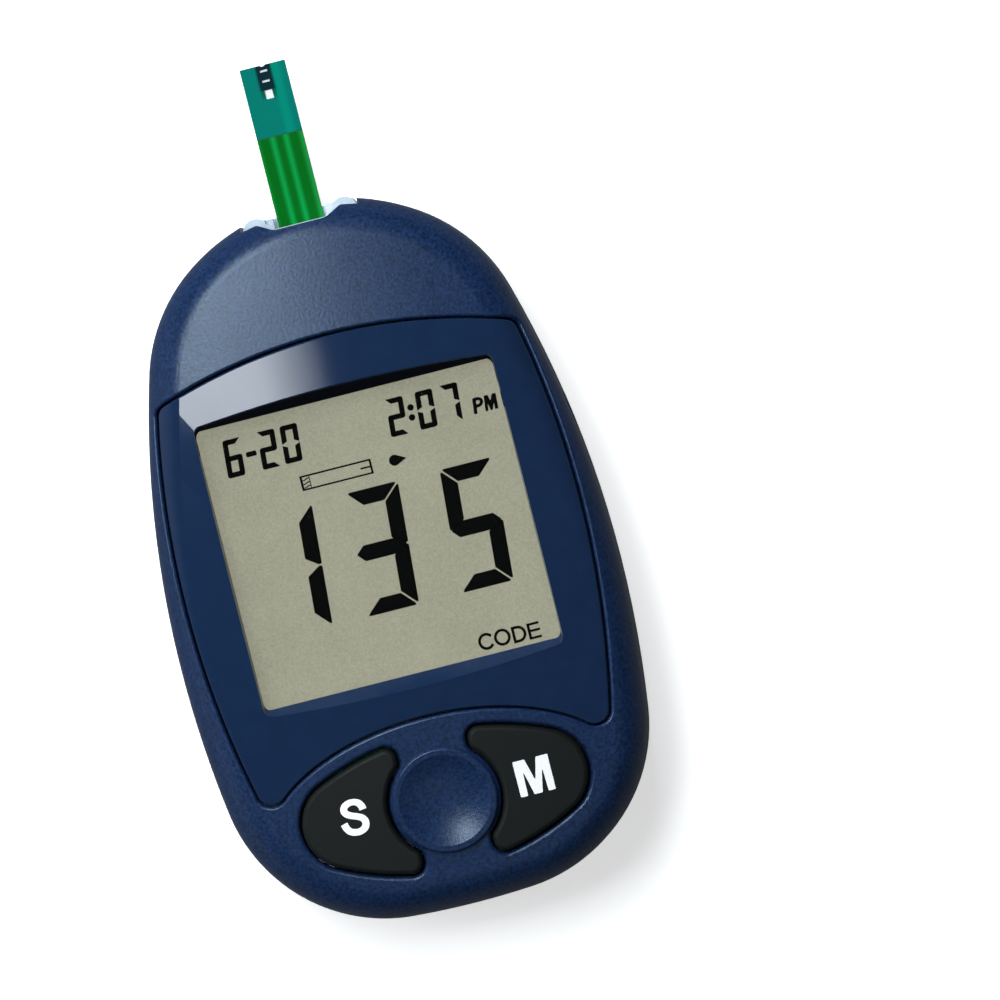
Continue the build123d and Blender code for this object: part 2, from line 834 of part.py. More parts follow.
def battery_bay():
    """Cup over the door opening, with the round cell pocket and the slots for the contacts' tails."""
    bay = block(*bay_size(), wall / 2, bay_top, y=cell_y)
    bay = bay - rod(cell_radius + cell_side_gap, 0, bay_ceiling, y=cell_y)
    side = cell_radius + plus_gap + 2 * spring_thickness
    bay = bay - block(side, plus_blade_width + 2 * tail_slot_gap, 0, bay_ceiling, side / 2, cell_y)
    finger = cell_radius + 2 * cell_side_gap
    bay = bay - block(cell_radius, finger, 0, cell_top, y=cell_y - finger / 2 - cell_side_gap)
    slot = (spring_thickness + 2 * tail_slot_gap, tail_width + 2 * tail_slot_gap)
    bay = bay - block(*slot, 0, span, plus_blade_x(), cell_y)
    bay = bay - block(*reversed(slot), 0, span, y=minus_tail_y())
    return bay


def plus_blade_x():
    return cell_radius + plus_gap + spring_thickness / 2


def minus_tail_y():
    return cell_y + spring_length / 2 - spring_thickness / 2


def door_opening():
    """Door-shaped hole with the rolled hinge trough, its two pin holes and the finger scoop."""
    size = (door_width + 2 * door_gap, door_length + 2 * door_gap)
    ledge = door_recess + door_thickness + seat_gap
    hole = rounded_plate(*size, door_corner_radius, -1, ledge, y=cell_y)
    hole = hole + block(size[0], size[1] / 2, -1, ledge, y=cell_y + size[1] / 4)
    trough = side_rod(door_hinge_radius + door_gap, -size[0] / 2, size[0] / 2, hinge_y, hinge_z)
    half = door_width / 2 + door_pin_length + door_pin_end_gap
    pins = side_rod(door_pin_radius + door_pin_gap, -half, half, hinge_y, hinge_z)
    dimple = block(latch_bump_length + 2 * door_gap, 2 * door_gap, -1, ledge, y=door_bottom_y - door_gap)
    scoop_radius = (grip_length**2 + grip_depth**2) / (2 * grip_depth)
    scoop = side_rod(scoop_radius, -grip_width / 2, grip_width / 2, door_bottom_y, grip_depth - scoop_radius)
    scoop = scoop & block(span, grip_length, -span, span, y=door_bottom_y - grip_length / 2)
    return hole + trough + pins + dimple + scoop


def rear_shell(form, cavity):
    shell = form & block(span, span, -1, parting_height)
    shell = shell - cavity
    lip = lip_ring(0) & block(span, span, parting_height - lip_height, parting_height + lip_height)
    shell = shell + lip
    shell = shell + battery_bay()
    shell = shell - (rod(cell_radius + cell_side_gap, 0, cell_top, y=cell_y))
    for x, y in screw_places():
        boss = rod(screw_head_radius + screw_recess_gap + boss_wall, wall / 2, parting_height, x, y)
        shell = shell + (boss & form)
    for x, y in screw_places():
        shell = shell - rod(screw_head_radius + screw_recess_gap, -1, screw_head_depth, x, y)
        shell = shell - rod(screw_radius + screw_hole_gap, -1, span, x, y)
    label = rounded_plate(
        label_width, label_height, label_corner_radius, -1, label_depth, y=label_middle_y
    )
    return pierced(shell - door_opening() - label, side_and_end_cuts(False))


# ---- battery ----
def battery_door():
    size = (door_width, door_length)
    low, high = door_recess, door_recess + door_thickness
    door = rounded_plate(*size, door_corner_radius, low, high, y=cell_y)
    square = block(door_width, door_length / 2, low, high, y=cell_y + door_length / 4)
    door = door + square - block(span, span, low - 1, high + 1, y=hinge_y + span / 2)
    half = door_width / 2
    door = door + side_rod(door_hinge_radius, -half, half, hinge_y, hinge_z)
    pin = half + door_pin_length
    door = door + side_rod(door_pin_radius, -pin, pin, hinge_y, hinge_z)
    rib_top = high + door_rib_width / 2
    for x in (-door_rib_spacing / 2, door_rib_spacing / 2):
        door = door + block(door_rib_width, door_rib_length, low, rib_top, x, cell_y)
    bump = block(latch_bump_length, latch_bump_height * 2, low, high, y=door_bottom_y)
    door = door + bump
    for x in (-latch_width / 2, latch_width / 2):
        y = door_bottom_y + latch_slot_length / 2
        door = door - block(latch_slot_width, latch_slot_length + latch_bump_height, low, high, x, y)
    return door


def coin_cell():
    can = rod(cell_radius, cell_bottom, cell_top - cell_cap_height, y=cell_y)
    can = fillet(can.edges().sort_by(Axis.Z)[0], 0.3)
    return can + rod(cell_cap_radius, cell_bottom, cell_top, y=cell_y)


def battery_contact_minus():
    """Leaf under the bay's roof, with a round bump on the cell and a tail to the board."""
    leaf = block(spring_width, spring_length, bay_ceiling - spring_thickness, bay_ceiling, y=cell_y)
    bump = rod(spring_bump_radius, cell_top, bay_ceiling, y=cell_y)
    tail = block(tail_width, spring_thickness, bay_ceiling - spring_thickness, board_bottom, y=minus_tail_y())
    return leaf + bump + tail


def battery_contact_plus():
    """Upright blade beside the cell, with a tail to the board."""
    x = plus_blade_x()
    low = cell_bottom + cell_cap_height
    blade = block(spring_thickness, plus_blade_width, low, cell_top - cell_cap_height, x, cell_y)
    return blade + block(spring_thickness, tail_width, low, board_bottom, x, cell_y)


# ---- board and what is soldered to it ----
def on_board(place):
    """Point on the board from its x and its distance down from the housing's top end."""
    return place[0], top_y - place[1]


def main_board():
    face = offset(housing_outline(), -(wall + board_gap))
    board = plate(face, board_bottom, board_top)
    keep = block(span, guide_back_y - port_gap - bottom_y, 0, span, y=(guide_back_y - port_gap + bottom_y) / 2)
    board = board & keep
    board = pierced(board, boss_clearance(boss_board_gap))
    x, y = board_screw_place()
    return pierced(board, in_pairs(rod(board_screw_radius + screw_hole_gap, 0, span, x, y)))


def microcontroller():
    chip = block(chip_size, chip_size, board_bottom - chip_height, board_bottom, *on_board(chip_place))
    return chamfer(chip.faces().sort_by(Axis.Z)[0].edges(), chip_height / 5)


def sensor_amplifier():
    low = board_bottom - amplifier_height
    return block(amplifier_length, amplifier_width, low, board_bottom, *on_board(amplifier_place))


def timing_crystal():
    low = board_bottom - crystal_height
    can = block(crystal_length, crystal_width, low, board_bottom, *on_board(crystal_place))
    return fillet(can.edges().filter_by(Axis.X), crystal_height / 3)


def chip_resistors():
    first_x, y = on_board(resistor_place)
    low = board_bottom - resistor_height
    return Compound(
        children=[
            block(resistor_width, resistor_length, low, board_bottom, first_x + n * resistor_pitch, y)
            for n in range(resistor_count)
        ]
    )


def buzzer():
    low = board_bottom - buzzer_height
    body = rod(buzzer_radius, low, board_bottom, *on_board(buzzer_place))
    body = fillet(body.edges().sort_by(Axis.Z)[0], buzzer_height / 6)
    return body - rod(buzzer_port_radius, low, low + buzzer_height / 2, *on_board(buzzer_place))


# ---- strip port ----
def guide_outline():
    """Strip guide in plan: two rounded ears with a web between them."""
    half = port_width / 2
    web, top = port_flat_y + port_web_reach, port_flat_y + port_ear_reach
    inner, outer = port_ear_top
    right = [
        (half, guide_back_y),
        (half, port_flat_y - port_flat_fall),
        (half - port_ear_slope, top - port_ear_slope),
        (outer, top),
        (inner, top),
        (port_ear_inner_x, web),
    ]
    left = [(-x, y) for x, y in reversed(right)]
    sketch = make_face(Polyline(*right, *left, close=True).edges())
    ears = sketch.vertices().filter_by(lambda v: v.Y > port_flat_y)
    return fillet(ears, port_ear_radius)


def strip_guide():
    """Port insert: ears, a rim along the dip, a lower web and the slot that the strip runs in."""
    middle = (strip_top + strip_bottom) / 2
    low, high = middle - port_height / 2, middle + port_height / 2
    body = plate(guide_outline(), low, high) + port_flange_block(0)
    floor, inner = notch_floor_width / 2, port_ear_inner_x
    right = [(floor, mouth_y + port_rim_width), (inner, port_flat_y), (inner, top_y)]
    left = [(-x, y) for x, y in reversed(right)]
    over_web = make_face(Polyline(*right, *left, close=True).edges())
    body = body - plate(over_web, high - port_web_drop, span)
    mouth_length = top_y - mouth_y
    body = body - block(notch_floor_width, mouth_length, middle, span,
                        y=mouth_y + port_jaw_reach + mouth_length / 2)
    slot = (strip_width + 2 * port_slot_side_gap, 4 * port_depth)
    low, high = strip_bottom - port_slot_gap, strip_top + port_slot_gap
    return body - block(*slot, low, high, y=port_flat_y)


def connector_back_y():
    return strip_end_y - connector_stop


def strip_connector():
    """Open-fronted block under the board that the strip's contact end goes into."""
    front = guide_back_y - port_gap
    back = connector_back_y()
    size = (connector_width, front - back)
    body = block(*size, strip_bottom - connector_floor, board_bottom, y=(front + back) / 2)
    inner = strip_width + 2 * strip_side_gap
    room = front - strip_end_y + contact_gap
    mouth = block(inner, room, strip_bottom - contact_gap, strip_top + contact_rise,
                  y=front - room / 2)
    return body - mouth


def strip_contacts():
    """Three sprung fingers that press on the strip's tracks."""
    length = connector_length * 0.7
    y = strip_end_y + length / 2
    fingers = []
    for n in (-1, 0, 1):
        x = n * strip_track_pitch
        roof = strip_top + contact_rise
        arm = block(contact_width, length, roof - contact_thickness, roof, x, y)
        tip = block(contact_width, contact_thickness, contact_low_z(), roof, x, y + length / 4)
        fingers.append(arm + tip)
    return Compound(children=fingers)


def contact_low_z():
    return strip_bottom + strip_base_thickness + strip_track_thickness + contact_gap


# ---- test strip ----
def strip_base():
    y = (strip_tip_y + strip_end_y) / 2
    base = block(strip_width, strip_length, strip_bottom, strip_bottom + strip_base_thickness, y=y)
    return base - strip_notch()


def strip_notch():
    return rod(strip_vent_width / 2, 0, span, y=strip_tip_y + strip_vent_width / 2 - strip_notch_depth)


def strip_tip_film():
    """Cover over the sample channel, with its vent window and two slits."""
    low = strip_bottom + strip_base_thickness
    film = block(strip_width, strip_tip_length, low, strip_top, y=strip_tip_y - strip_tip_length / 2)
    vent_y = strip_tip_y - strip_vent_from_tip - strip_vent_length / 2
    film = film - block(strip_vent_width, strip_vent_length, 0, span, y=vent_y)
    for from_tip in strip_slits_from_tip:
        film = film - block(strip_vent_width, strip_slit_length, 0, span, y=strip_tip_y - from_tip)
    return film - strip_notch()


def strip_print_film():
    low = strip_bottom + strip_base_thickness
    end = strip_tip_y - strip_tip_length - strip_film_joint
    length = strip_print_length - strip_film_joint
    return block(strip_width, length, low, strip_top, y=end - length / 2)


def strip_tracks():
    low = strip_bottom + strip_base_thickness
    length = strip_length - strip_tip_length - strip_print_length
    y = strip_end_y + length / 2
    return Compound(
        children=[
            block(strip_track_width, length, low, low + strip_track_thickness, n * strip_track_pitch, y)
            for n in (-1, 0, 1)
        ]
    )


# ---- code chip and data socket ----
def chip_key_inner_x():
    return -housing_half_width(chip_key_y) + chip_key_length


def code_chip(form):
    chip = chip_key_box(0, chip_key_length)
    keep = block(span, span, 0, span, chip_key_inner_x() - span / 2)
    chip = chip & form & keep
    left = -housing_half_width(chip_key_y)
    for n in (1, 2, 3):
        x = left + chip_key_groove * 2 * n + chip_key_groove
        chip = chip - block(chip_key_groove, chip_key_width / 2, 0, chip_key_above_rear + chip_key_groove,
                            x, chip_key_y)
    pocket = chip_pin_reach + chip_key_gap
    slot_height = chip_pin_thickness + 2 * chip_key_gap
    middle = chip_key_above_rear + chip_key_height / 2
    return chip - block(2 * pocket, chip_pin_pitch * chip_pin_count, middle - slot_height / 2,
                        middle + slot_height / 2, chip_key_inner_x(), chip_key_y)


def chip_socket_x():
    return chip_key_inner_x() + chip_key_gap + chip_socket_length / 2


def code_chip_socket():
    low = chip_key_above_rear
    return block(chip_socket_length, chip_key_width, low, board_bottom, chip_socket_x(), chip_key_y)


def code_chip_pins():
    middle = chip_key_above_rear + chip_key_height / 2
    face = chip_key_inner_x() + chip_key_gap
    first = chip_key_y - chip_pin_pitch * (chip_pin_count - 1) / 2
    return Compound(
        children=[
            block(chip_pin_reach, chip_pin_width, middle - chip_pin_thickness / 2,
                  middle + chip_pin_thickness / 2, face - chip_pin_reach / 2, first + n * chip_pin_pitch)
            for n in range(chip_pin_count)
        ]
    )


def data_mouth_x():
    return housing_half_width(data_y) - data_nose_recess


def data_socket():
    z = data_axis_z()
    body_right = data_mouth_x() - data_nose_length
    low = z - data_nose_radius - data_body_floor + board_gap
    body = block(data_body_length, data_body_width, low, board_bottom,
                 body_right - data_body_length / 2, data_y)
    nose = side_rod(data_nose_radius, body_right - data_nose_gap, data_mouth_x(), data_y, z)
    bore = side_rod(data_bore_radius, data_mouth_x() - data_bore_length, data_mouth_x() + 1, data_y, z)
    return body + nose - bore


def main():
    os.makedirs("parts", exist_ok=True)
    form = housing_form(0)
    cavity = housing_form(wall)
    nodes = {
        "front_shell": front_shell(form, cavity),
        "rear_shell": rear_shell(form, cavity),
        "display_bezel": display_bezel(form),
        "window_lens": window_lens(),
        "lcd_front_glass": lcd_front_glass(),
        "lcd_rear_glass": lcd_rear_glass(),
        "lcd_reflector": lcd_reflector(),
        "lcd_frame": lcd_frame(),
        "zebra_strip_upper": zebra_strip(1),
        "zebra_strip_lower": zebra_strip(-1),
        "left_key": key_cap(-1),
        "right_key": key_cap(1),
        "left_key_pill": key_pill(-1),
        "right_key_pill": key_pill(1),
        "keypad_sheet": keypad_sheet(),
        "main_board": main_board(),
        "microcontroller": microcontroller(),
        "sensor_amplifier": sensor_amplifier(),
        "timing_crystal": timing_crystal(),
        "chip_resistors": chip_resistors(),
        "buzzer": buzzer(),
        "strip_guide": strip_guide(),
        "strip_connector": strip_connector(),
        "strip_contacts": strip_contacts(),
        "strip_base": strip_base(),
        "strip_tip_film": strip_tip_film(),
        "strip_print_film": strip_print_film(),
        "strip_tracks": strip_tracks(),
        "code_chip": code_chip(form),
        "code_chip_socket": code_chip_socket(),
        "code_chip_pins": code_chip_pins(),
        "data_socket": data_socket(),
        "coin_cell": coin_cell(),
        "battery_contact_plus": battery_contact_plus(),
        "battery_contact_minus": battery_contact_minus(),
        "battery_door": battery_door(),
        "housing_screws": housing_screws(),
        "board_screws": board_screws(),
    }
    for name, shape in nodes.items():
        export_step(shape, f"parts/{name}.step")
    print(len(nodes), "nodes written")


if __name__ == "__main__":
    main()
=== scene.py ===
# %% [markdown]
# # A blood glucose meter, dressed for a portrait
# The solid model is loaded first and never moved. It gives every piece its place, so this file only
# adds what a solid model lacks: finishes, printing, the digits inside the display and the light.
# Everything is in metres, with +Z out of the display. Artwork is drawn in millimetres.

import math

import bmesh
import bpy
from mathutils import Matrix, Vector


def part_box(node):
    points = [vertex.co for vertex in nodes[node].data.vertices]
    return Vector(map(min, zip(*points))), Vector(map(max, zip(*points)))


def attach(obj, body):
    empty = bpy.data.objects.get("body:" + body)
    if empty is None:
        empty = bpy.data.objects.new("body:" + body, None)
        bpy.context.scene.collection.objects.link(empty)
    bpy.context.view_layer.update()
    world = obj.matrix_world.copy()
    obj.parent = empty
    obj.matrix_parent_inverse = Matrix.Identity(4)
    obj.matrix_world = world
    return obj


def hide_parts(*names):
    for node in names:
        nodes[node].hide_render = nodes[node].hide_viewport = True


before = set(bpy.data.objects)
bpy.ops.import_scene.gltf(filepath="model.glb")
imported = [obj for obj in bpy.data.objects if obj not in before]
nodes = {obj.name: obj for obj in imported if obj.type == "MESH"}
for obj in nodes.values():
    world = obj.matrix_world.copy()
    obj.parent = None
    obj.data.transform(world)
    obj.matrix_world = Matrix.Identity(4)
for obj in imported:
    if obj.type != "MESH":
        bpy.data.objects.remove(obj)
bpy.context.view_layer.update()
mm = 0.001

# %% [markdown]
# ## Helpers for colours and nodes
# Colours are easiest to choose as the hex values of a paint chart, but a renderer adds light in
# linear values, so one function does that change. A material is a graph of nodes, and one function
# adds a node, sets it and wires it in a single call. Another puts a node in between a shader's
# input and whatever fed it before, so that a print or a bump can be laid over a finished material.
# A mix of colours has its two colours at inputs 6 and 7 and its result at output 2. A mix of plain
# numbers has them at 2 and 3 and at output 0.


# %% Colour and node helpers
def linear(code):
    """sRGB hex such as '172c50' to linear RGBA."""
    parts = [int(code[i : i + 2], 16) / 255 for i in (0, 2, 4)]
    return [c / 12.92 if c <= 0.04045 else ((c + 0.055) / 1.055) ** 2.4 for c in parts] + [1.0]


def add(tree, kind, settings=None, links=None):
    """A node of one kind: settings are its own properties or input values, links feed its inputs."""
    node = tree.nodes.new(kind)
    for name, value in (settings or {}).items():
        if isinstance(name, int) or name in node.inputs:
            node.inputs[name].default_value = value
        else:
            setattr(node, name, value)
    for name, socket in (links or {}).items():
        tree.links.new(socket, node.inputs[name])
    return node


def finish_of(name, **values):
    """A new material with one Principled shader set to the given values, with its tree and shader."""
    material = bpy.data.materials.new(name)
    material.use_nodes = True
    shader = material.node_tree.nodes["Principled BSDF"]
    for key, value in values.items():
        shader.inputs[key.replace("_", " ")].default_value = value
    return material, material.node_tree, shader


def in_between(tree, node, takes, gives, socket):
    """Puts a node before a shader's input, and feeds it with what fed that input until now."""
    if socket.links:
        tree.links.new(socket.links[0].from_socket, node.inputs[takes])
    tree.links.new(node.outputs[gives], socket)


print("navy as linear", [round(c, 4) for c in linear("172c50")])

# %% [markdown]
# ## Camera
# The meter lies face up and is seen from almost straight above, turned a little anticlockwise. A
# long lens two metres away keeps its sides parallel, as catalogues have them. The camera
# leans 2.3 degrees to the meter's right, so a little more shows of the window's left wall.

# %% Camera
view_width = 143.8 * mm  # what the square frame spans at the meter's rim
look_at = Vector((17.80, 3.40, 9.75)) * mm
lean = math.radians(2.3)
turn = math.radians(14.25)
distance = 2.0
sensor_width = 36.0
camera = bpy.data.objects.new("camera", bpy.data.cameras.new("camera"))
bpy.context.scene.collection.objects.link(camera)
camera.data.sensor_width = sensor_width
camera.data.lens = sensor_width * distance / view_width
camera.data.clip_end = 5 * distance
toward_camera = Vector((math.sin(lean), 0, math.cos(lean)))
picture_up = Vector((math.sin(turn), math.cos(turn), 0))
picture_up = (picture_up - picture_up.project(toward_camera)).normalized()
picture_right = picture_up.cross(toward_camera)
facing = Matrix((picture_right, picture_up, toward_camera)).transposed().to_4x4()
camera.matrix_world = Matrix.Translation(look_at + toward_camera * distance) @ facing
bpy.context.scene.camera = camera
print("lens mm", round(camera.data.lens, 1))

# %% [markdown]
# ## Floor
# The floor is a sheet of white paper. Seen directly it glows, so that it reads as white and still
# takes a pale shadow. For light that bounces it is a much darker grey: otherwise it would throw so
# much light up the navy sides that they would look washed out.

# %% Floor
reach = 3.0
floor_drop = 0.1 * mm  # keeps the paper clear of the flat rear face
glow_seen = 0.62
glow_mirrored = 0.06
floor_mesh = bpy.data.meshes.new("floor")
corners = [(x * reach, y * reach, 0) for x, y in ((-1, -1), (1, -1), (1, 1), (-1, 1))]
floor_mesh.from_pydata(corners, [], [(0, 1, 2, 3)])
floor = bpy.data.objects.new("floor", floor_mesh)
bpy.context.scene.collection.objects.link(floor)
floor.location.z = -floor_drop

grey_for_bounces, white_for_the_eye = linear("626468"), linear("f4f4f4")
paper, tree, shader = finish_of("white_paper_floor", Roughness=0.9, Emission_Color=(1, 1, 1, 1))
path = add(tree, "ShaderNodeLightPath").outputs
direct_rays = {0: path["Is Camera Ray"], 1: path["Is Transmission Ray"]}
seen = add(tree, "ShaderNodeMath", {"operation": "ADD"}, direct_rays)
shade = add(
    tree,
    "ShaderNodeMix",
    {"data_type": "RGBA", 6: grey_for_bounces, 7: white_for_the_eye},
    {0: seen.outputs[0]},
)
tree.links.new(shade.outputs[2], shader.inputs["Base Color"])
direct = add(tree, "ShaderNodeMath", {"operation": "MULTIPLY", 1: glow_seen}, {0: seen.outputs[0]})
glow = add(
    tree,
    "ShaderNodeMath",
    {"operation": "MULTIPLY_ADD", 1: glow_mirrored},
    {0: path["Is Glossy Ray"], 2: direct.outputs[0]},
)
tree.links.new(glow.outputs[0], shader.inputs["Emission Strength"])
floor_mesh.materials.append(paper)
print("floor lies at mm", floor.location.z / mm)

# %% [markdown]
# ## Room
# Seen directly, the room is nearly white. What lights the meter, and shows in its gloss, is a dim
# room: faint light from low down all round, and a brighter wall far on the left, which gives the
# left rim its blue line. Dark surroundings are what lets a gloss part look glossy. Rays that leave
# through a clear part low down meet full light.

# %% World
left_light = {"From Min": -0.6, "From Max": -0.98, "To Min": 0.03, "To Max": 0.34}
low_light = 0.09
room_colour = (0.95, 0.97, 1.0, 1)
world = bpy.data.worlds.new("studio")
bpy.context.scene.world = world
world.use_nodes = True
tree = world.node_tree
background = tree.nodes["Background"]
background.inputs["Color"].default_value = room_colour
path = add(tree, "ShaderNodeLightPath").outputs
direction = add(tree, "ShaderNodeTexCoord").outputs["Generated"]
axes = add(tree, "ShaderNodeSeparateXYZ", None, {0: direction}).outputs
from_the_left = add(
    tree, "ShaderNodeMapRange", {"interpolation_type": "SMOOTHSTEP", **left_light}, {"Value": axes[0]}
)
low_down = add(
    tree,
    "ShaderNodeMapRange",
    {"interpolation_type": "SMOOTHSTEP", "From Min": 0.35, "From Max": 0.0},
    {"Value": axes[2]},
)
room = add(
    tree,
    "ShaderNodeMath",
    {"operation": "MULTIPLY_ADD", 1: low_light},
    {0: low_down.outputs[0], 2: from_the_left.outputs[0]},
)
seen = add(
    tree,
    "ShaderNodeMath",
    {"operation": "MULTIPLY_ADD"},
    {0: path["Is Transmission Ray"], 1: low_down.outputs[0], 2: path["Is Camera Ray"]},
)
level = add(tree, "ShaderNodeMix", {3: 1.0}, {0: seen.outputs[0], 2: room.outputs[0]})
tree.links.new(level.outputs[0], background.inputs["Strength"])
bpy.context.scene.view_settings.view_transform = "Standard"
print("room light low down", low_light, "and up to", left_light["To Max"], "from the left")

# %% [markdown]
# ## Lamps
# One softbox hangs behind the meter's upper left. The gloss panel mirrors it as a pale glare with
# edges, and the satin housing spreads it wide: the same lamp, two finishes. Its light fades across
# its right third, as behind a sheet of diffuser, so the glare ends softly on that side. Two fills
# light the colours but aren't mirrored, and a weak wide lamp in front lifts the lower half.

# %% Lamps
lamp_colour = (0.90, 0.96, 1.0)


def softbox(name, centre, size, radiance, aim=None):
    """A rectangular lamp that faces straight down or towards a point. A mirror shows its radiance."""
    data = bpy.data.lights.new(name, "AREA")
    data.shape = "RECTANGLE"
    data.size, data.size_y = size
    data.color = lamp_colour
    data.energy = radiance * math.pi * size[0] * size[1]
    lamp = bpy.data.objects.new(name, data)
    bpy.context.scene.collection.objects.link(lamp)
    lamp.location = centre
    if aim:
        lamp.rotation_euler = (Vector(aim) - Vector(centre)).to_track_quat("-Z", "Y").to_euler()
    return lamp


fade_from = 0.656  # share of the softbox's width
key_lamp = softbox("key_softbox", (-0.215, 0.369, 0.9), (0.32, 0.462), 11.3)
key_lamp.data.use_nodes = True
tree = key_lamp.data.node_tree
on_lamp = add(tree, "ShaderNodeNewGeometry").outputs["Parametric"]
across = add(tree, "ShaderNodeSeparateXYZ", None, {0: on_lamp})
fade = add(
    tree,
    "ShaderNodeMapRange",
    {"From Min": fade_from, "From Max": 1.0, "To Min": 1.0, "To Max": 0.0},
    {"Value": across.outputs[0]},
)
tree.links.new(fade.outputs[0], tree.nodes["Emission"].inputs["Strength"])

for name, centre, size, radiance in (
    ("top_fill", (-0.1, 0.75, 0.55), (0.6, 0.6), 6.2),
    ("left_fill", (-0.5, 0.1, 0.4), (0.25, 0.25), 6.5),
):
    fill_lamp = softbox(name, centre, size, radiance, aim=(0, 0, 0))
    fill_lamp.visible_glossy = False
    fill_lamp.visible_transmission = False
front_glow = softbox("front_glow", (0.1, -0.45, 0.9), (0.8, 0.4), 0.28)
front_glow.visible_transmission = False

# %% [markdown]
# ## Housing: navy ABS from a spark-eroded mould
# The two shells and the battery door are moulded ABS. Their mould is eroded by sparks to a fine matt
# grain of about a tenth of a millimetre, so the plastic spreads a highlight over many centimetres.
# That grain is too fine for one pixel, so it is drawn at nearly half a millimetre: it speckles the
# colour and drives a small bump. A much slower noise varies the roughness, as handling does. The
# values of a noise mostly lie between 0.3 and 0.7, so those are stretched to the whole change.

# %% Moulded plastic and navy ABS
handling_mm = 18  # how far apart the worn and the fresh places lie


def moulded(name, colour, roughness, grain_mm, grain_depth_mm, vary=0.06, ior=1.53, speckle=0.05):
    """One colour, a grain of a given size and slow changes of roughness, as moulded plastic has them.

    Rubber, ink, film, solder mask and ceramic are as plain as that, so they are made with it too.
    """
    material, tree, shader = finish_of(name, Base_Color=linear(colour), IOR=ior)
    place = add(tree, "ShaderNodeTexCoord").outputs["Object"]
    grain, slow = (
        add(tree, "ShaderNodeTexNoise", {"Scale": 1 / (size * mm), "Detail": detail}, {"Vector": place})
        for size, detail in ((grain_mm, 2.0), (handling_mm, 3.0))
    )
    rough = add(
        tree,
        "ShaderNodeMapRange",
        {"From Min": 0.3, "From Max": 0.7, "To Min": roughness - vary, "To Max": roughness + vary},
        {"Value": slow.outputs["Fac"]},
    )
    low, high = ([c * (1 + sign * speckle) for c in linear(colour)[:3]] + [1.0] for sign in (-1, 1))
    spread = add(
        tree, "ShaderNodeMapRange", {"From Min": 0.32, "From Max": 0.68}, {"Value": grain.outputs["Fac"]}
    )
    tone = add(tree, "ShaderNodeMix", {"data_type": "RGBA", 6: low, 7: high}, {0: spread.outputs[0]})
    tree.links.new(tone.outputs[2], shader.inputs["Base Color"])
    tree.links.new(rough.outputs[0], shader.inputs["Roughness"])
    depth = {"Strength": 1.0, "Distance": grain_depth_mm * mm}
    bump = add(tree, "ShaderNodeBump", depth, {"Height": grain.outputs["Fac"]})
    tree.links.new(bump.outputs[0], shader.inputs["Normal"])
    return material


shell_grain_mm = 0.45
navy_abs = moulded(
    "navy_abs_eroded", "172c50", 0.31, shell_grain_mm, 0.022, vary=0.02, ior=1.57, speckle=0.45
)
navy_abs.node_tree.nodes["Principled BSDF"].inputs["Specular Tint"].default_value = (0.75, 0.9, 1.0, 1)
print("housing grain mm", shell_grain_mm)

# %% [markdown]
# ## Display panel: the same plastic, polished
# The panel comes from a mould that is polished to a mirror, so it shows the softbox's edges. Such a
# part never cools quite flat: from each upper window corner a faint fold runs to the panel's own
# corner, and the side parts fall away from it. A bump is enough for that, because only the mirrored
# lamp shows it. The window's upper wall is matt, and its colour is painted shade: near-black, as the
# lamps leave that wall unlit beside the gloss.

# %% Panel
crown_height, crown_across, crown_along = 21.0, 186.0, 400.0  # mm: the front face and its two radii
window_corner, panel_corner = Vector((22.15, 24.2)), Vector((24.2, 28.0))  # mm, on the right
fold_slope, fold_reach = 0.035, 6.0  # mm for the reach
wall_under_crown, wall_above_y, wall_half_width = 0.35, 20.0, 22.2  # mm
panel_abs = moulded("navy_abs_polished", "182c4b", 0.07, 2.5, 0.0015, vary=0.02)


def fold_from_corners(material):
    """The side parts fall away from a line through both corners, alike on the left and the right."""
    tree = material.node_tree
    shader = tree.nodes["Principled BSDF"]
    place = add(tree, "ShaderNodeTexCoord").outputs["Object"]
    axes = add(tree, "ShaderNodeSeparateXYZ", None, {0: place}).outputs
    out_x = add(tree, "ShaderNodeMath", {"operation": "ABSOLUTE"}, {0: axes[0]})
    run = panel_corner - window_corner
    across = Vector((run.y, -run.x)).normalized()
    start = across.dot(window_corner) * mm
    part = add(
        tree, "ShaderNodeMath", {"operation": "MULTIPLY_ADD", 1: across.x, 2: -start}, {0: out_x.outputs[0]}
    )
    away = add(
        tree, "ShaderNodeMath", {"operation": "MULTIPLY_ADD", 1: across.y}, {0: axes[1], 2: part.outputs[0]}
    )
    width, deepest = fold_reach * mm, -fold_reach * mm * fold_slope
    fall = add(
        tree,
        "ShaderNodeMapRange",
        {"From Min": 0.0, "From Max": width, "To Min": 0.0, "To Max": deepest},
        {"Value": away.outputs[0]},
    )
    fold = add(tree, "ShaderNodeBump", {"Distance": 1.0}, {"Height": fall.outputs[0]})
    in_between(tree, fold, "Normal", 0, shader.inputs["Normal"])


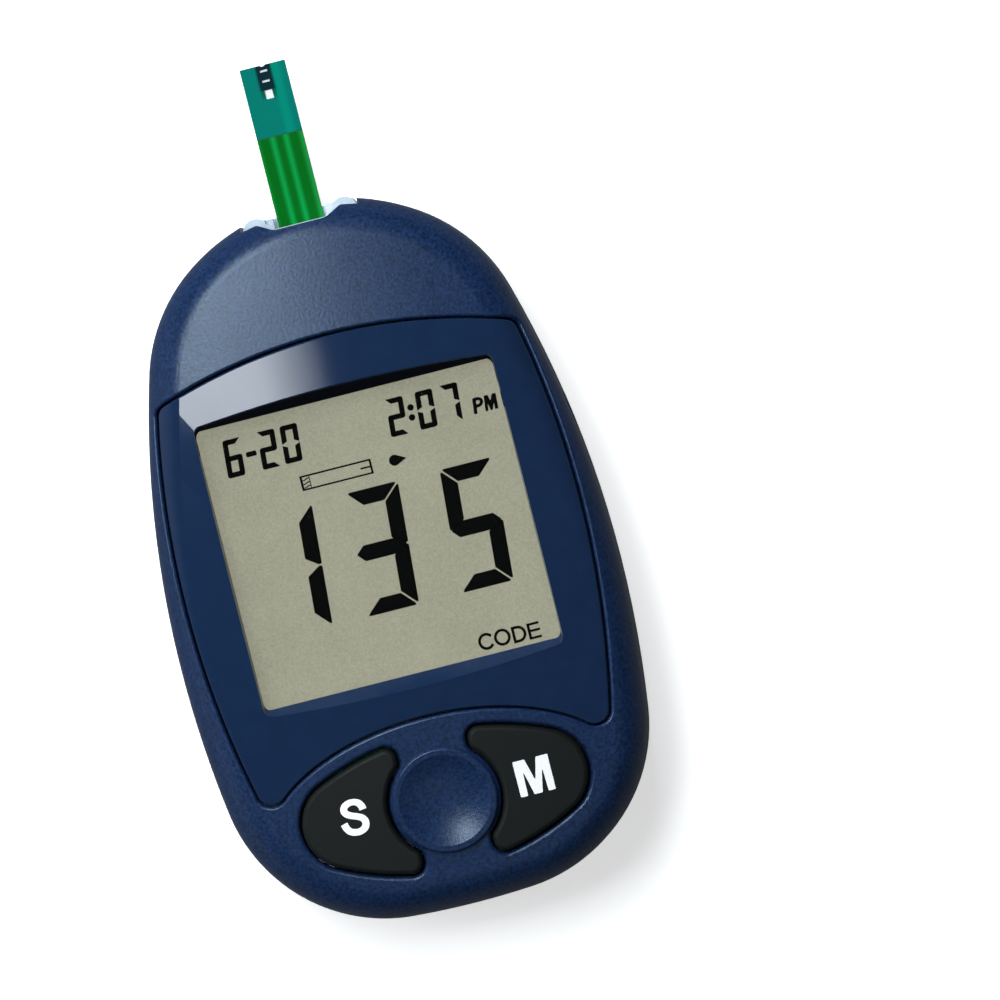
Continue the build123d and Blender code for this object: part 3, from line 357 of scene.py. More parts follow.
def painted_shade_on_upper_wall(material):
    """Painted shade: matt and near-black where the surface lies under the crown, along the window's upper
    edge.
    """
    tree = material.node_tree
    shader = tree.nodes["Principled BSDF"]
    place = add(tree, "ShaderNodeTexCoord").outputs["Object"]
    axes = add(tree, "ShaderNodeSeparateXYZ", None, {0: place}).outputs
    squares = add(tree, "ShaderNodeVectorMath", {"operation": "MULTIPLY"}, {0: place, 1: place})
    bends = (1 / (2 * crown_across * mm), 1 / (2 * crown_along * mm), 0)
    drop = add(tree, "ShaderNodeVectorMath", {"operation": "DOT_PRODUCT", 1: bends}, {0: squares.outputs[0]})
    height = add(tree, "ShaderNodeMath", {"operation": "ADD"}, {0: axes[2], 1: drop.outputs["Value"]})
    highest = (crown_height - wall_under_crown) * mm
    below = add(tree, "ShaderNodeMath", {"operation": "LESS_THAN", 1: highest}, {0: height.outputs[0]})
    upper = add(tree, "ShaderNodeMath", {"operation": "GREATER_THAN", 1: wall_above_y * mm}, {0: axes[1]})
    within = add(
        tree, "ShaderNodeMath", {"operation": "COMPARE", 1: 0.0, 2: wall_half_width * mm}, {0: axes[0]}
    )
    wall = add(tree, "ShaderNodeMath", {"operation": "MULTIPLY"}, {0: below.outputs[0], 1: upper.outputs[0]})
    wall = add(tree, "ShaderNodeMath", {"operation": "MULTIPLY"}, {0: wall.outputs[0], 1: within.outputs[0]})
    # Painted shade: the unlit upper wall gets a near-black colour, with less shine.
    for name, kind, takes, gives, value in (
        ("Base Color", "RGBA", 6, 2, linear("0a0d16")),
        ("Roughness", "FLOAT", 2, 0, 0.75),
        ("Specular IOR Level", "FLOAT", 2, 0, 0.12),
    ):
        socket = shader.inputs[name]
        settings = {"data_type": kind, takes: socket.default_value, takes + 1: value}
        mix = add(tree, "ShaderNodeMix", settings, {0: wall.outputs[0]})
        in_between(tree, mix, takes, gives, socket)


fold_from_corners(panel_abs)
painted_shade_on_upper_wall(panel_abs)
print("panel fold falls", round(fold_reach * fold_slope, 2), "mm at most")

# %% [markdown]
# ## Window and display
# The window is a clear acrylic plate. The display under it is a sandwich: two sheets of glass with
# the segments between them, on a reflector. Glass that refracts blocks lamps in a path tracer, so
# rays that ask for light pass it as if it were clear. The reflector is a grained film with a painted
# glow of its own: it stands in for the light that a real display gathers from every side through the
# glass, and it lightens the shade that the window's walls cast on the film. The display's glass has
# an antiglare film, which is why its refraction is set far below real glass.


# %% Clear materials and reflector
def clear(name, ior, tint="ffffff"):
    """Clear plate: refracts what is seen through it, and lets lamps light what lies behind."""
    material, tree, shader = finish_of(
        name, Base_Color=linear(tint), Roughness=0.02, IOR=ior, Transmission_Weight=1.0
    )
    for_lamps = add(tree, "ShaderNodeLightPath").outputs["Is Shadow Ray"]
    open_way = add(tree, "ShaderNodeBsdfTransparent", {"Color": linear(tint)})
    mix = add(tree, "ShaderNodeMixShader", None, {0: for_lamps, 1: shader.outputs[0], 2: open_way.outputs[0]})
    tree.links.new(mix.outputs[0], tree.nodes["Material Output"].inputs["Surface"])
    return material


def reflector_film(blotch_mm=9, grain_mm=0.3, blotch_share=0.25):
    """A fine grain with faint wide blotches, lit by the lamps and by a painted glow of its own."""
    material, tree, shader = finish_of(
        "display_reflector_film", Base_Color=linear("545349"), Roughness=0.55, IOR=1.5, Emission_Strength=0.76
    )
    place = add(tree, "ShaderNodeTexCoord").outputs["Object"]
    blotch, speck = (
        add(tree, "ShaderNodeTexNoise", {"Scale": 1 / (size * mm), "Detail": 2.0}, {"Vector": place})
        for size in (blotch_mm, grain_mm)
    )
    both = add(tree, "ShaderNodeMix", {0: blotch_share}, {2: speck.outputs["Fac"], 3: blotch.outputs["Fac"]})
    ramp = add(tree, "ShaderNodeValToRGB", None, {"Fac": both.outputs[0]})
    for element, position, code in zip(ramp.color_ramp.elements, (0.3, 0.7), ("949384", "b0af9e")):
        element.position = position
        element.color = linear(code)
    # The ramp colours the painted glow, which lightens the shade of the window's walls.
    tree.links.new(ramp.outputs["Color"], shader.inputs["Emission Color"])
    return material


acrylic = clear("clear_acrylic_polished", 1.49)
cell_glass = clear("display_glass", 1.15, "fbfdf8")
film = reflector_film()
print("clear materials", acrylic.name, cell_glass.name)

# %% [markdown]
# ## Rubber and plastics
# The keys are silicone rubber with a dry matt skin. The port jaw is a pale translucent
# polycarbonate: light goes a millimetre deep into it, which subsurface scattering draws. Most of
# the other plastics hide inside, each with its own grain.

# %% Rubber and plastics
key_rubber = moulded("silicone_rubber_black", "121615", 0.55, 0.3, 0.006, ior=1.43)
carbon = moulded("carbon_rubber_pill", "0c0c0c", 0.7, 0.4, 0.01)
sheet_rubber = moulded("silicone_sheet_grey", "a9adb2", 0.5, 0.4, 0.006, ior=1.43)
zebra = moulded("layered_silicone", "6c7074", 0.5, 0.1, 0.01)
ice = moulded("pale_polycarbonate", "d3e1ee", 0.22, 1.2, 0.003, ior=1.58)
ice_inputs = ice.node_tree.nodes["Principled BSDF"].inputs
ice_inputs["Subsurface Weight"].default_value = 0.5
ice_inputs["Subsurface Radius"].default_value = (0.6, 0.8, 1.0)
ice_inputs["Subsurface Scale"].default_value = 1.0 * mm
tray = moulded("white_abs_tray", "d8d8d4", 0.45, 0.3, 0.006)
black_nylon = moulded("black_nylon_moulded", "17181a", 0.5, 0.25, 0.008)
grey_abs = moulded("grey_abs_moulded", "3a3f48", 0.45, 0.25, 0.008)
epoxy = moulded("moulded_epoxy", "18191b", 0.6, 0.12, 0.012)
alumina = moulded("sintered_alumina", "b59c7c", 0.6, 0.1, 0.01)
label_film = moulded("silvered_label_film", "b9bcc0", 0.4, 0.5, 0.002)
print("materials so far", len(bpy.data.materials))

# %% [markdown]
# ## Circuit board
# The board is glass epoxy under a green solder mask. The copper runs under the mask lift it a few
# hundredths of a millimetre and make it paler. Courses of bricks give the right look: their joints
# run straight, with steps from row to row, as copper runs do.

# %% Circuit board
run_length, run_pitch, run_width, copper_lift = 6.5, 1.6, 0.3, 0.03  # mm
mask = moulded("green_solder_mask", "0f5a2c", 0.28, 0.8, 0.006)


def copper_runs(material):
    """Copper runs under the solder mask: straight lines with steps, a little paler and raised."""
    tree = material.node_tree
    shader = tree.nodes["Principled BSDF"]
    place = add(tree, "ShaderNodeTexCoord").outputs["Object"]
    sizes = {"Brick Width": run_length * mm, "Row Height": run_pitch * mm, "Mortar Size": run_width * mm / 2}
    runs = add(tree, "ShaderNodeTexBrick", {"Scale": 1.0, **sizes}, {"Vector": place})
    paler = add(tree, "ShaderNodeMix", {"data_type": "RGBA", 7: linear("2c8a4c")}, {0: runs.outputs["Fac"]})
    in_between(tree, paler, 6, 2, shader.inputs["Base Color"])
    lifted = add(tree, "ShaderNodeBump", {"Distance": copper_lift * mm}, {"Height": runs.outputs["Fac"]})
    in_between(tree, lifted, "Normal", 0, shader.inputs["Normal"])


copper_runs(mask)
print("copper runs every mm", run_pitch)

# %% [markdown]
# ## Metals
# The cell's can and the contacts are plated sheet, and the screws are turned. Rolling and turning
# leave fine parallel lines, so a noise is stretched along one direction and mostly varies the
# roughness. The three metals differ in plating: nickel, gold flash and zinc.

# %% Metals
valley_roughness, ridge_roughness = -0.08, 0.12  # added to the metal's own
line_depth = 0.002  # mm


def metal(name, colour, roughness, line_mm, stretch=14):
    """Sheet or turned metal: drawn lines of the given pitch, mostly in the roughness."""
    material, tree, shader = finish_of(name, Base_Color=linear(colour), Metallic=1.0)
    place = add(tree, "ShaderNodeTexCoord").outputs["Object"]
    along = add(tree, "ShaderNodeMapping", {"Scale": (1, stretch, stretch)}, {"Vector": place})
    scale = 1 / (line_mm * stretch * mm)
    lines = add(tree, "ShaderNodeTexNoise", {"Scale": scale, "Detail": 2.0}, {"Vector": along.outputs[0]})
    rough = add(
        tree,
        "ShaderNodeMapRange",
        {"To Min": roughness + valley_roughness, "To Max": roughness + ridge_roughness},
        {"Value": lines.outputs["Fac"]},
    )
    bump = add(tree, "ShaderNodeBump", {"Distance": line_depth * mm}, {"Height": lines.outputs["Fac"]})
    tree.links.new(rough.outputs[0], shader.inputs["Roughness"])
    tree.links.new(bump.outputs[0], shader.inputs["Normal"])
    return material


nickel_steel = metal("nickel_plated_steel", "c9c8c2", 0.25, 0.15)
spring_gold = metal("gold_flash_spring", "e3c169", 0.22, 0.1)
zinc_steel = metal("zinc_plated_steel", "a4a5a8", 0.32, 0.12)
print("metals", nickel_steel.name, spring_gold.name, zinc_steel.name)

# %% [markdown]
# ## Test strip films
# A strip is a white polyester base with printed films on top. The teal tip film covers the sample
# channel, which shows through as a dark block at the tip and a fainter stain that runs on past the
# vent. The green film has lighter stripes over the tracks.
# Bands across the width are drawn from the distance to each band's middle. Where the two films
# meet, the base carries a dark printed line, so that no white shows between them.

# %% Strip films
strip_tip_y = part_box("strip_base")[1].y
joint_y = (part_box("strip_print_film")[1].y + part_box("strip_tip_film")[0].y) / 2
half_line = 0.3  # mm


def banded(name, base, bands):
    """Glossy printed film. A band is its middle, half width and soft edge in mm, and its colour."""
    material, tree, shader = finish_of(name, Base_Color=linear(base), Roughness=0.06, IOR=1.57)
    place = add(tree, "ShaderNodeTexCoord").outputs["Object"]
    axes = add(tree, "ShaderNodeSeparateXYZ", None, {0: place}).outputs
    for middle, half, soft, code in bands:
        away = add(tree, "ShaderNodeMath", {"operation": "SUBTRACT", 1: middle * mm}, {0: axes[0]})
        away = add(tree, "ShaderNodeMath", {"operation": "ABSOLUTE"}, {0: away.outputs[0]})
        edges = {"From Min": (half - soft) * mm, "From Max": (half + soft) * mm, "To Min": 1.0, "To Max": 0.0}
        inside = add(
            tree,
            "ShaderNodeMapRange",
            {"interpolation_type": "SMOOTHSTEP", **edges},
            {"Value": away.outputs[0]},
        )
        colours = {"data_type": "RGBA", 6: linear(base), 7: linear(code)}
        mix = add(tree, "ShaderNodeMix", colours, {0: inside.outputs[0]})
        in_between(tree, mix, 6, 2, shader.inputs["Base Color"])
    return material


def show_channel(material, half_width=1.1, soft=0.2):
    """The sample channel under the film: a stain that runs on past the vent, and a dark block."""
    tree = material.node_tree
    shader = tree.nodes["Principled BSDF"]
    place = add(tree, "ShaderNodeTexCoord").outputs["Object"]
    axes = add(tree, "ShaderNodeSeparateXYZ", None, {0: place}).outputs
    side = add(tree, "ShaderNodeMath", {"operation": "ABSOLUTE"}, {0: axes[0]})
    edges = {"From Min": (half_width - soft) * mm, "From Max": (half_width + soft) * mm}
    across = add(
        tree, "ShaderNodeMapRange", {**edges, "To Min": 1.0, "To Max": 0.0}, {"Value": side.outputs[0]}
    )
    # mm from the tip at which each begins and is at its full strength, that strength, and the colour
    for begins, full, strength, code in ((5.2, 4.2, 0.75, "06503a"), (3.8, 3.6, 1.0, "0b2b33")):
        ends = {"From Min": strip_tip_y - begins * mm, "From Max": strip_tip_y - full * mm}
        along = add(tree, "ShaderNodeMapRange", {**ends, "To Max": strength}, {"Value": axes[1]})
        both = {0: across.outputs[0], 1: along.outputs[0]}
        where = add(tree, "ShaderNodeMath", {"operation": "MULTIPLY"}, both)
        mix = add(tree, "ShaderNodeMix", {"data_type": "RGBA", 7: linear(code)}, {0: where.outputs[0]})
        in_between(tree, mix, 6, 2, shader.inputs["Base Color"])


def inked_line(material, middle, half, code):
    """A printed line across the strip at y = middle."""
    tree = material.node_tree
    shader = tree.nodes["Principled BSDF"]
    place = add(tree, "ShaderNodeTexCoord").outputs["Object"]
    axes = add(tree, "ShaderNodeSeparateXYZ", None, {0: place}).outputs
    inside = add(tree, "ShaderNodeMath", {"operation": "COMPARE", 1: middle, 2: half}, {0: axes[1]})
    mix = add(tree, "ShaderNodeMix", {"data_type": "RGBA", 7: linear(code)}, {0: inside.outputs[0]})
    in_between(tree, mix, 6, 2, shader.inputs["Base Color"])


over_tracks = [(-1.12, 0.3, 0.48, "0fa24c"), (0.82, 0.3, 0.48, "0fa24c")]
along_rims = [(3.1, 0.3, 0.45, "1c9442"), (-3.2, 0.2, 0.3, "07842a")]
green_film = banded("green_printed_film", "04691b", over_tracks + along_rims)
teal_film = banded("teal_printed_film", "047a6c", [(1.7, 0.6, 0.4, "038a76")])
show_channel(teal_film)
white_film = moulded("white_polyester_film", "f4f4f2", 0.35, 0.6, 0.002)
inked_line(white_film, joint_y, half_line * mm, "03552a")
carbon_ink = moulded("screen_printed_carbon", "a79d96", 0.6, 0.15, 0.004)
print("strip tip at mm", round(strip_tip_y / mm, 2), "films meet at mm", round(joint_y / mm, 2))

# %% [markdown]
# ## Give each solid its finish
# A solid that already has the right shape keeps it and only gets its material.

# %% Finishes by node
finishes = {
    navy_abs: ["front_shell", "rear_shell", "battery_door"],
    panel_abs: ["display_bezel"],
    acrylic: ["window_lens"],
    film: ["lcd_reflector"],
    tray: ["lcd_frame"],
    zebra: ["zebra_strip_upper", "zebra_strip_lower"],
    key_rubber: ["left_key", "right_key"],
    carbon: ["left_key_pill", "right_key_pill"],
    sheet_rubber: ["keypad_sheet"],
    mask: ["main_board"],
    epoxy: ["microcontroller", "sensor_amplifier", "buzzer"],
    nickel_steel: ["timing_crystal", "coin_cell", "battery_contact_plus", "battery_contact_minus"],
    alumina: ["chip_resistors"],
    ice: ["strip_guide"],
    black_nylon: ["strip_connector", "code_chip_socket", "data_socket"],
    spring_gold: ["strip_contacts", "code_chip_pins"],
    white_film: ["strip_base"],
    teal_film: ["strip_tip_film"],
    green_film: ["strip_print_film"],
    carbon_ink: ["strip_tracks"],
    grey_abs: ["code_chip"],
    zinc_steel: ["housing_screws", "board_screws"],
}
for material, names in finishes.items():
    for name in names:
        nodes[name].material_slots[0].material = material
print("dressed", sum(len(names) for names in finishes.values()), "solids")

# %% [markdown]
# ## Flat artwork as thin solids
# Digits, letters and icons are thin plates. One function turns closed outlines into a plate of a
# real thickness, so that the marks are geometry and not a picture. Another one makes the outline
# of a pen stroke: a letter is drawn by a pen of a known width, as a sign painter would.


# %% Plates
def into_scene(bm, name, material):
    """Turns a finished shape into a piece of one material."""
    mesh = bpy.data.meshes.new(name)
    bm.to_mesh(mesh)
    bm.free()
    mesh.materials.append(material)
    piece = bpy.data.objects.new(name, mesh)
    bpy.context.scene.collection.objects.link(piece)
    return piece


def plate(name, outlines, base, thickness, material):
    """Closed outlines (mm) as thin plates that lie on base(x, y), a height in mm."""
    bm = bmesh.new()
    for outline in outlines:
        lower = [bm.verts.new((x * mm, y * mm, base(x, y) * mm)) for x, y in outline]
        upper = [bm.verts.new((x * mm, y * mm, (base(x, y) + thickness) * mm)) for x, y in outline]
        count = len(outline)
        bm.faces.new(list(reversed(lower)))
        bm.faces.new(upper)
        for i in range(count):
            j = (i + 1) % count
            bm.faces.new((lower[i], lower[j], upper[j], upper[i]))
    bmesh.ops.recalc_face_normals(bm, faces=bm.faces)
    return into_scene(bm, name, material)


# %% Simple outlines
def rectangle(x0, y0, x1, y1):
    """The four corners, anticlockwise from the lower left."""
    return [(x0, y0), (x1, y0), (x1, y1), (x0, y1)]


def arc(centre, radius_x, radius_y, start, end, steps=20):
    """Points along part of an ellipse, in mm and degrees."""
    angles = [math.radians(start + (end - start) * k / steps) for k in range(steps + 1)]
    return [(centre[0] + radius_x * math.cos(a), centre[1] + radius_y * math.sin(a)) for a in angles]


def disc(centre, radius, count):
    """A closed round outline with a given number of points."""
    return arc(centre, radius, radius, 0, 360 - 360 / count, count - 1)


print("points of a round joint", len(disc((0, 0), 1, 20)))


# %% Rounded corners and pen strokes
def rounded(points, radius, steps=4):
    """The outline with each corner rounded, by at most 0.45 of the sides that meet there."""
    out = []
    count = len(points)
    for i in range(count):
        here = Vector(points[i])
        before, after = Vector(points[i - 1]) - here, Vector(points[(i + 1) % count]) - here
        half = before.angle(after) / 2
        reach = min(radius / math.tan(half), 0.45 * before.length, 0.45 * after.length)
        start, end = here + before.normalized() * reach, here + after.normalized() * reach
        for k in range(steps + 1):
            t = k / steps
            out.append(tuple((1 - t) ** 2 * start + 2 * t * (1 - t) * here + t**2 * end))
    return out


def stroke(points, widths, mitre=0.4):
    """Outline of a pen stroke along points (mm). Widths is one width, or one for each point.

    The mitre keeps the outer corner of a sharp turn from running out into a spike.
    """
    if isinstance(widths, float):
        widths = [widths] * len(points)
    left, right = [], []
    last = len(points) - 1
    for i in range(len(points)):
        here = Vector(points[i])
        into = here - Vector(points[i - 1]) if i else Vector(points[1]) - here
        out_of = Vector(points[i + 1]) - here if i < last else into
        into, out_of = into.normalized(), out_of.normalized()
        side = Vector((-into.y - out_of.y, into.x + out_of.x)).normalized()
        reach = widths[i] / 2 / max(mitre, side.dot(Vector((-into.y, into.x))))
        left.append(tuple(here + side * reach))
        right.append(tuple(here - side * reach))
    return left + right[::-1]


print("points of a rounded square", len(rounded(rectangle(0, 0, 1, 1), 0.1)))


# %% Smooth lines and places
def between(p, q, r, s, t):
    """One coordinate of a Catmull-Rom line at the share t of the way from q to r."""
    return 0.5 * (2 * q + (r - p) * t + (2 * p - 5 * q + 4 * r - s) * t**2 + (3 * q - p - 3 * r + s) * t**3)


def smooth(points, steps=6):
    """A smooth line through points of any dimension."""
    out = []
    padded = [points[0], *points, points[-1]]
    for a, b, c, d in zip(padded, padded[1:], padded[2:], padded[3:]):
        for k in range(steps):
            out.append(tuple(between(*four, k / steps) for four in zip(a, b, c, d)))
    return out + [points[-1]]


def moved(outlines, shift_x, shift_y):
    """The outlines at another place."""
    return [[(x + shift_x, y + shift_y) for x, y in outline] for outline in outlines]


def leaning(points, centre, slant):
    """An outline about the origin, leant to the right and put at its centre."""
    return [(centre[0] + x + slant * y, centre[1] + y) for x, y in points]


print("points of a smooth line through three", len(smooth([(0, 0), (1, 1), (2, 0)])))

# %% [markdown]
# ## Numerals
# The large numerals are seven bars that meet in mitres, with a hair's gap between two bars. In the
# small ones the gap closes and only the two halves of a side stay apart, where the middle bar is off.
# The bars are called a to g, clockwise from the top, with g in the middle, as on any such display.

# %% Large numerals
BARS = {"0": "abcdef", "1": "bc", "2": "abged", "3": "abgcd", "5": "afgcd", "6": "afgcde", "7": "abc"}
slant = 0.075


def large_numeral(digit, centre, half_width=3.9, half_height=8.95, thick=2.28, gap=0.16, corner=0.25):
    """The lit bars of a large numeral. A side bar's fifth corner makes room for the middle bar."""
    w, h, t, g = half_width, half_height, thick, gap
    top = [(-w + g, h), (w - g, h), (w - t - g / 2, h - t + g / 2), (-w + t + g / 2, h - t + g / 2)]
    bottom = [(x, -y) for x, y in reversed(top)]
    m = t / 2
    middle = [(-w + g, 0), (-w + m + g, m), (w - m - g, m), (w - g, 0), (w - m - g, -m), (-w + m + g, -m)]
    right = [(w, h - g), (w, g), (w - m * 0.4, g * 0.6), (w - t, m + g), (w - t, h - t - g)]
    lower_right = [(x, -y) for x, y in reversed(right)]
    left = [(-x, y) for x, y in reversed(right)]
    lower_left = [(-x, -y) for x, y in right]
    shapes = {"a": top, "b": right, "c": lower_right, "d": bottom, "e": lower_left, "f": left, "g": middle}
    return [rounded(leaning(shapes[bar], centre, slant), corner) for bar in BARS[digit]]


large_middle_y = 0.18
numerals = []
for digit, x in (("1", -13.1), ("3", -0.3), ("5", 13.68)):
    numerals += large_numeral(digit, (x, large_middle_y))
print("bars in the large numerals", len(numerals))


# %% Small numerals
def small_numeral(digit, centre, half_width=1.28, half_height=2.74, thick=0.76, gap=0.07, cut=0.35):
    """Bars run from joint to joint; a joint with two bars is round, a free end is cut on the slant.

    Where the middle bar is off, the two halves of a side end before their joint, cut inwards.
    """
    w, h, r = half_width - thick / 2, half_height - thick / 2, thick / 2
    joints = {"tl": (-w, h), "tr": (w, h), "ml": (-w, 0), "mr": (w, 0), "bl": (-w, -h), "br": (w, -h)}
    ends = {"a": "tl tr", "b": "tr mr", "c": "mr br", "d": "bl br", "e": "ml bl", "f": "tl ml", "g": "ml mr"}
    lit = BARS[digit]
    meeting = {joint: [bar for bar in lit if joint in ends[bar].split()] for joint in joints}
    outlines = []
    for bar in lit:
        sides = []
        for joint, other in zip(ends[bar].split(), reversed(ends[bar].split())):
            here, there = Vector(joints[joint]), Vector(joints[other])
            along = (here - there).normalized()
            out = Vector((here.x, 0)) if bar in "bcef" else Vector((0, here.y if bar in "ad" else 1))
            out.normalize()
            outer, inner = (0.0, 0.0) if len(meeting[joint]) > 1 else (r, -r)
            if joint[0] == "m" and "g" not in lit:
                outer, inner = -gap, -gap - cut
            sides.append((here + along * outer + out * r, here + along * inner - out * r))
        (first_out, first_in), (last_out, last_in) = sides
        outlines.append([tuple(first_out), tuple(last_out), tuple(last_in), tuple(first_in)])
    for joint, bars in meeting.items():
        if len(bars) > 1 and not (joint[0] == "m" and "g" not in lit):
            outlines.append(disc(joints[joint], r, 20))
    return [leaning(outline, centre, slant) for outline in outlines]


small_middle_y, dot_radius = 18.07, 0.47
for digit, x in (("6", -17.75), ("2", -12.62), ("0", -9.27), ("2", 6.4), ("0", 10.75), ("7", 14.45)):
    numerals += small_numeral(digit, (x, small_middle_y))
numerals.append(rounded(rectangle(-15.95, 17.66, -14.4, 18.4), 0.25))
numerals += [disc(dot, dot_radius, 24) for dot in ((8.64, 18.86), (8.5, 17.42))]
print("outlines for the numerals", len(numerals))

# %% [markdown]
# ## Icon and words
# The icon is a strip with a drop beside it: its frame, the contacts at its left end and the channel
# at its right are pen strokes of about a quarter of a millimetre. The letters of the lower word are
# strokes too. The two letters beside the time lean and are heavier, so the M is one outline.

# %% Icon
left, right, low, high = -9.15, 1.07, 11.12, 13.05
contacts_end, channel_y = -7.95, 12.08
icon = [
    stroke([(left - 0.17, high), (right + 0.15, high)], 0.25),
    stroke([(left - 0.17, low), (right + 0.15, low)], 0.24),
    stroke([(left, low), (left, high)], 0.34),
    stroke([(right, low), (right, high)], 0.3),
    stroke([(-0.5, channel_y), (0.95, channel_y)], 0.24),
    stroke([(contacts_end, low), (contacts_end, high)], 0.12),
]
for y in (11.36, 11.9, 12.45):
    wave = smooth([(left + 0.2, y), (-8.7, y + 0.02), (-8.3, y + 0.2), (contacts_end, y + 0.22)])
    icon.append(stroke(wave, 0.17))
icon.append(arc((4.55, channel_y), 0.8, 0.8, 52, 308) + [(6.3, 12.02)])
print("outlines for the icon", len(icon))

# %% Words
pen = 0.4
letter_c = [stroke(arc((10.95, -16.35), 1.0, 1.03, 35, 325), pen)]
letter_o = [stroke(arc((13.3, -16.32), 1.0, 1.03, start, start + 180), pen) for start in (90, -90)]
bowl = [(14.8, -15.44), (15.55, -15.44)]
bowl += arc((15.6, -16.44), 1.0, 1.0, 86, -86)
bowl += [(15.55, -17.44), (14.8, -17.44)]
letter_d = [stroke([(14.97, -15.25), (14.97, -17.62)], pen), stroke(bowl, pen)]
letter_e = [stroke([(17.25, -15.32), (17.25, -17.67)], pen)]
letter_e += [stroke([(17.1, y), (18.85, y)], pen - 0.05) for y in (-15.5, -16.45, -17.5)]

stem = rounded(stroke([(17.78, 17.92), (17.5, 15.62)], 0.52), 0.18)
loop = smooth([(17.7, 17.7), (18.3, 17.7), (18.68, 17.45), (18.68, 17.05), (18.3, 16.74), (17.62, 16.72)])
letter_p = [stem, stroke(loop, 0.47)]
upper_m = [(19.2, 17.9), (19.78, 17.9), (20.0, 16.95), (20.38, 17.9), (20.98, 17.9)]
lower_m = [(20.85, 15.65), (20.36, 15.65), (20.42, 16.75), (20.04, 15.65), (19.7, 15.65), (19.5, 16.8)]
letter_m = [rounded([*upper_m, *lower_m, (19.4, 15.65), (18.95, 15.65)], 0.1)]
words = letter_c + letter_o + letter_d + letter_e + letter_p + letter_m
marks = numerals + icon + words
print("outlines on the display", len(marks))

# %% [markdown]
# ## Display cell
# The marks lie low in the cell, close over the reflector, so that they throw no shadow on it. They
# have no shine of their own, because the liquid round them bends light as they do. The two sheets
# of glass are glued face to face, so they are drawn as one clear block.

# %% Marks in the display
artwork_shift = (0.2, 0.57)  # mm, from the artwork's own middle to the part's
mark_lift, mark_thickness = 0.02, 0.02  # mm
front_glass, rear_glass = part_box("lcd_front_glass"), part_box("lcd_rear_glass")
cell_floor = rear_glass[0].z / mm
dark_crystal = finish_of("liquid_crystal_dark", Base_Color=linear("050606"), Roughness=0.6, IOR=1.0)[0]
segments = plate(
    "display_marks",
    moved(marks, *artwork_shift),
    lambda x, y: cell_floor + mark_lift,
    mark_thickness,
    dark_crystal,
)
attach(segments, "housing")
print("marks lie at mm", round(cell_floor + mark_lift, 2))


# %% Glass block
def glass_block(name, front, rear, edge=0.08 * mm):
    """Front and rear sheet as one block: the front one is longer and leaves two ledges."""
    (x0, y0, z1), (x1, y1, z2) = front
    (_, y2, z0), (_, y3, _) = rear
    side_view = [(y2, z0), (y3, z0), (y3, z1), (y1, z1), (y1, z2), (y0, z2), (y0, z1), (y2, z1)]
    bm = bmesh.new()
    ends = [[bm.verts.new((x, y, z)) for y, z in side_view] for x in (x0, x1)]
    bm.faces.new(ends[0])
    bm.faces.new(list(reversed(ends[1])))
    for i in range(len(side_view)):
        j = (i + 1) % len(side_view)
        bm.faces.new((ends[0][i], ends[0][j], ends[1][j], ends[1][i]))
    bmesh.ops.recalc_face_normals(bm, faces=bm.faces)
    bmesh.ops.bevel(bm, geom=bm.edges[:], offset=edge, segments=1, affect="EDGES")
    return into_scene(bm, name, cell_glass)


cell = glass_block("display_cell", front_glass, rear_glass)
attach(cell, "housing")
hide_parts("lcd_front_glass", "lcd_rear_glass")
print("glass block mm", round((front_glass[1].z - rear_glass[0].z) / mm, 2), "thick")

# %% [markdown]
# ## Letters on the keys
# The two letters are pad printed: a soft pad carries a film of white ink onto the domed rubber. Each
# is one outline, laid on the key's own surface and a few hundredths of a millimetre thick. The S is
# a pen stroke whose width changes along its way, so each of its points has a third value, the width.

# %% Key letters
key_rise, ink_thickness, ink_bite = 0.75, 0.03, 0.005  # mm: key over crown, film, overlap


def key_top(x, y):
    """Height in mm at which the ink starts, just inside the domed key."""
    return crown_height + key_rise - x * x / (2 * crown_across) - y * y / (2 * crown_along) - ink_bite


legend_ink = moulded("white_pad_print", "fbfbfb", 0.45, 0.2, 0.002)
ink_inputs = legend_ink.node_tree.nodes["Principled BSDF"].inputs
ink_inputs["Emission Color"].default_value = (1, 1, 1, 1)
ink_inputs["Emission Strength"].default_value = 0.2  # painted glow, so that the white letters read bright
upper_s = [(-12.17, -35.27, 1.06), (-12.27, -34.72, 1.04), (-12.68, -34.16, 0.98), (-13.4, -33.9, 0.9)]
upper_s += [(-14.12, -33.97, 0.92), (-14.72, -34.33, 0.98), (-14.9, -34.9, 1.02), (-14.6, -35.42, 0.98)]
middle_s = [(-13.9, -35.8, 0.94), (-13.1, -36.12, 0.94), (-12.5, -36.5, 0.98)]
lower_s = [(-12.24, -37.15, 1.04), (-12.5, -37.82, 1.02), (-13.1, -38.18, 0.96), (-13.85, -38.25, 0.96)]
lower_s += [(-14.62, -38.0, 0.98), (-15.1, -37.45, 1.02), (-15.34, -36.68, 1.06)]
s_line = smooth(upper_s + middle_s + lower_s)
s_outline = stroke([point[:2] for point in s_line], [point[2] for point in s_line])
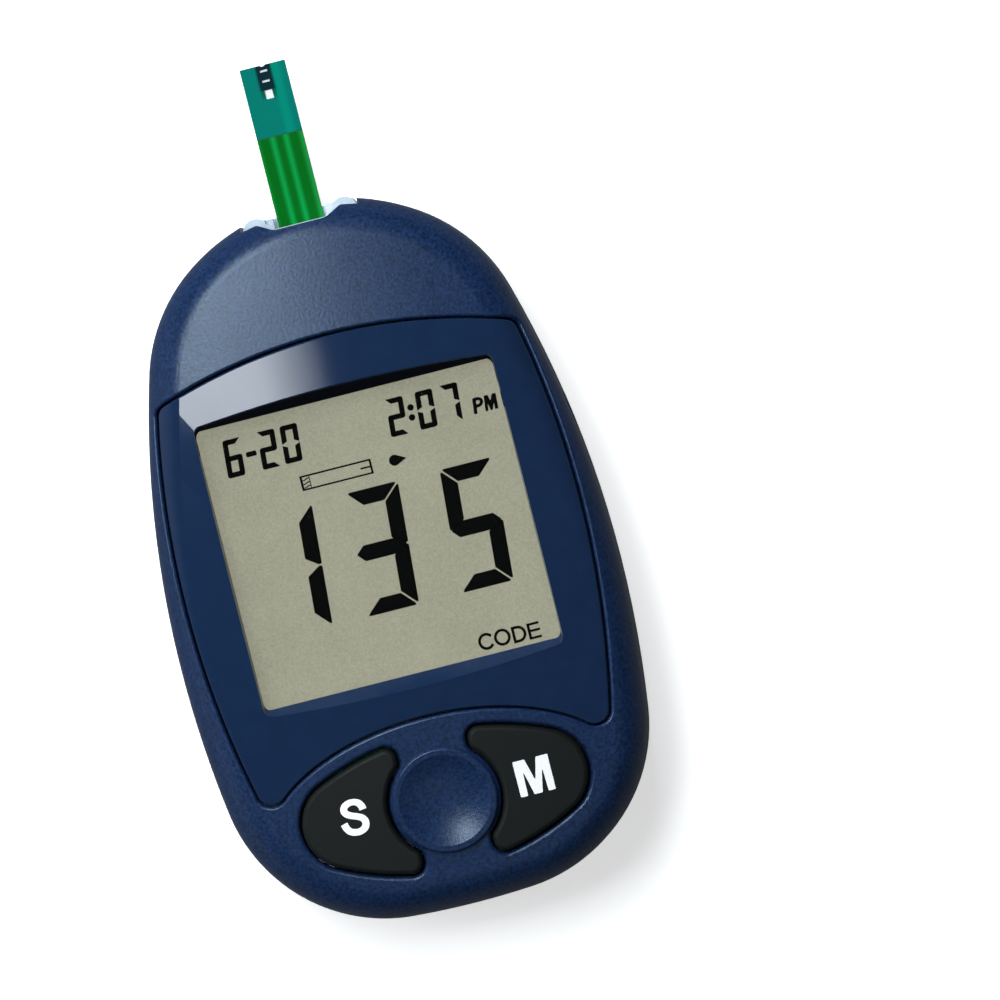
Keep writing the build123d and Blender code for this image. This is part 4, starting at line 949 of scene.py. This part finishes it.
m_upper = [(10.2, -34.0), (11.95, -34.0), (12.8, -37.3), (13.62, -34.0), (15.35, -34.0)]
m_right_leg = [(15.32, -39.2), (14.28, -39.2), (14.16, -35.5)]
m_left_leg = [(13.38, -39.2), (12.2, -39.2), (11.32, -35.4), (11.24, -39.2), (10.2, -39.2)]
m_outline = rounded(m_upper + m_right_leg + m_left_leg, 0.12)
letter_shift = (0.45, 0.57)  # mm, from the artwork's own middle to the part's, up on the crown
s_letter = plate("left_key_letter", moved([s_outline], *letter_shift), key_top, ink_thickness, legend_ink)
m_letter = plate("right_key_letter", moved([m_outline], *letter_shift), key_top, ink_thickness, legend_ink)
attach(s_letter, "left_key")
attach(m_letter, "right_key")
print("letter top mm", round(max(v.co.z for v in s_letter.data.vertices) / mm, 3))

# %% [markdown]
# ## Rear label and cell marking
# The recess in the rear shell holds a bare label of silvered film. The cell has a plus sign etched
# in its can, which faces the battery door. Both lie where only the underside shows them.

# %% Label
label_width, label_height, label_y, label_corner = 35.4, 23.4, 22.0, 2.7  # mm, 0.3 clear all round
recess_depth, label_thickness = 0.25, 0.12
half_width, half_height = label_width / 2, label_height / 2
label_outline = rectangle(-half_width, label_y - half_height, half_width, label_y + half_height)
label = plate(
    "rear_label",
    [rounded(label_outline, label_corner)],
    lambda x, y: recess_depth - label_thickness,
    label_thickness,
    label_film,
)
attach(label, "housing")
print("label mm", label_width, label_height)

# %% Plus sign
arm, half_bar, etch = 3.0, 0.5, 0.02  # mm
etched = moulded("etched_steel_mark", "4a4b4d", 0.6, 0.15, 0.004)
cell_low, cell_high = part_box("coin_cell")
cell_middle = (cell_low + cell_high) / (2 * mm)
level_bar = rectangle(-arm, -half_bar, arm, half_bar)
upper_bar = rectangle(-half_bar, half_bar, half_bar, arm)
lower_bar = rectangle(-half_bar, -arm, half_bar, -half_bar)
plus = moved([level_bar, upper_bar, lower_bar], cell_middle.x, cell_middle.y)
sign = plate("coin_cell_plus", plus, lambda x, y: cell_low.z / mm - etch, etch, etched)
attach(sign, "housing")
print("plus sign mm", 2 * arm)
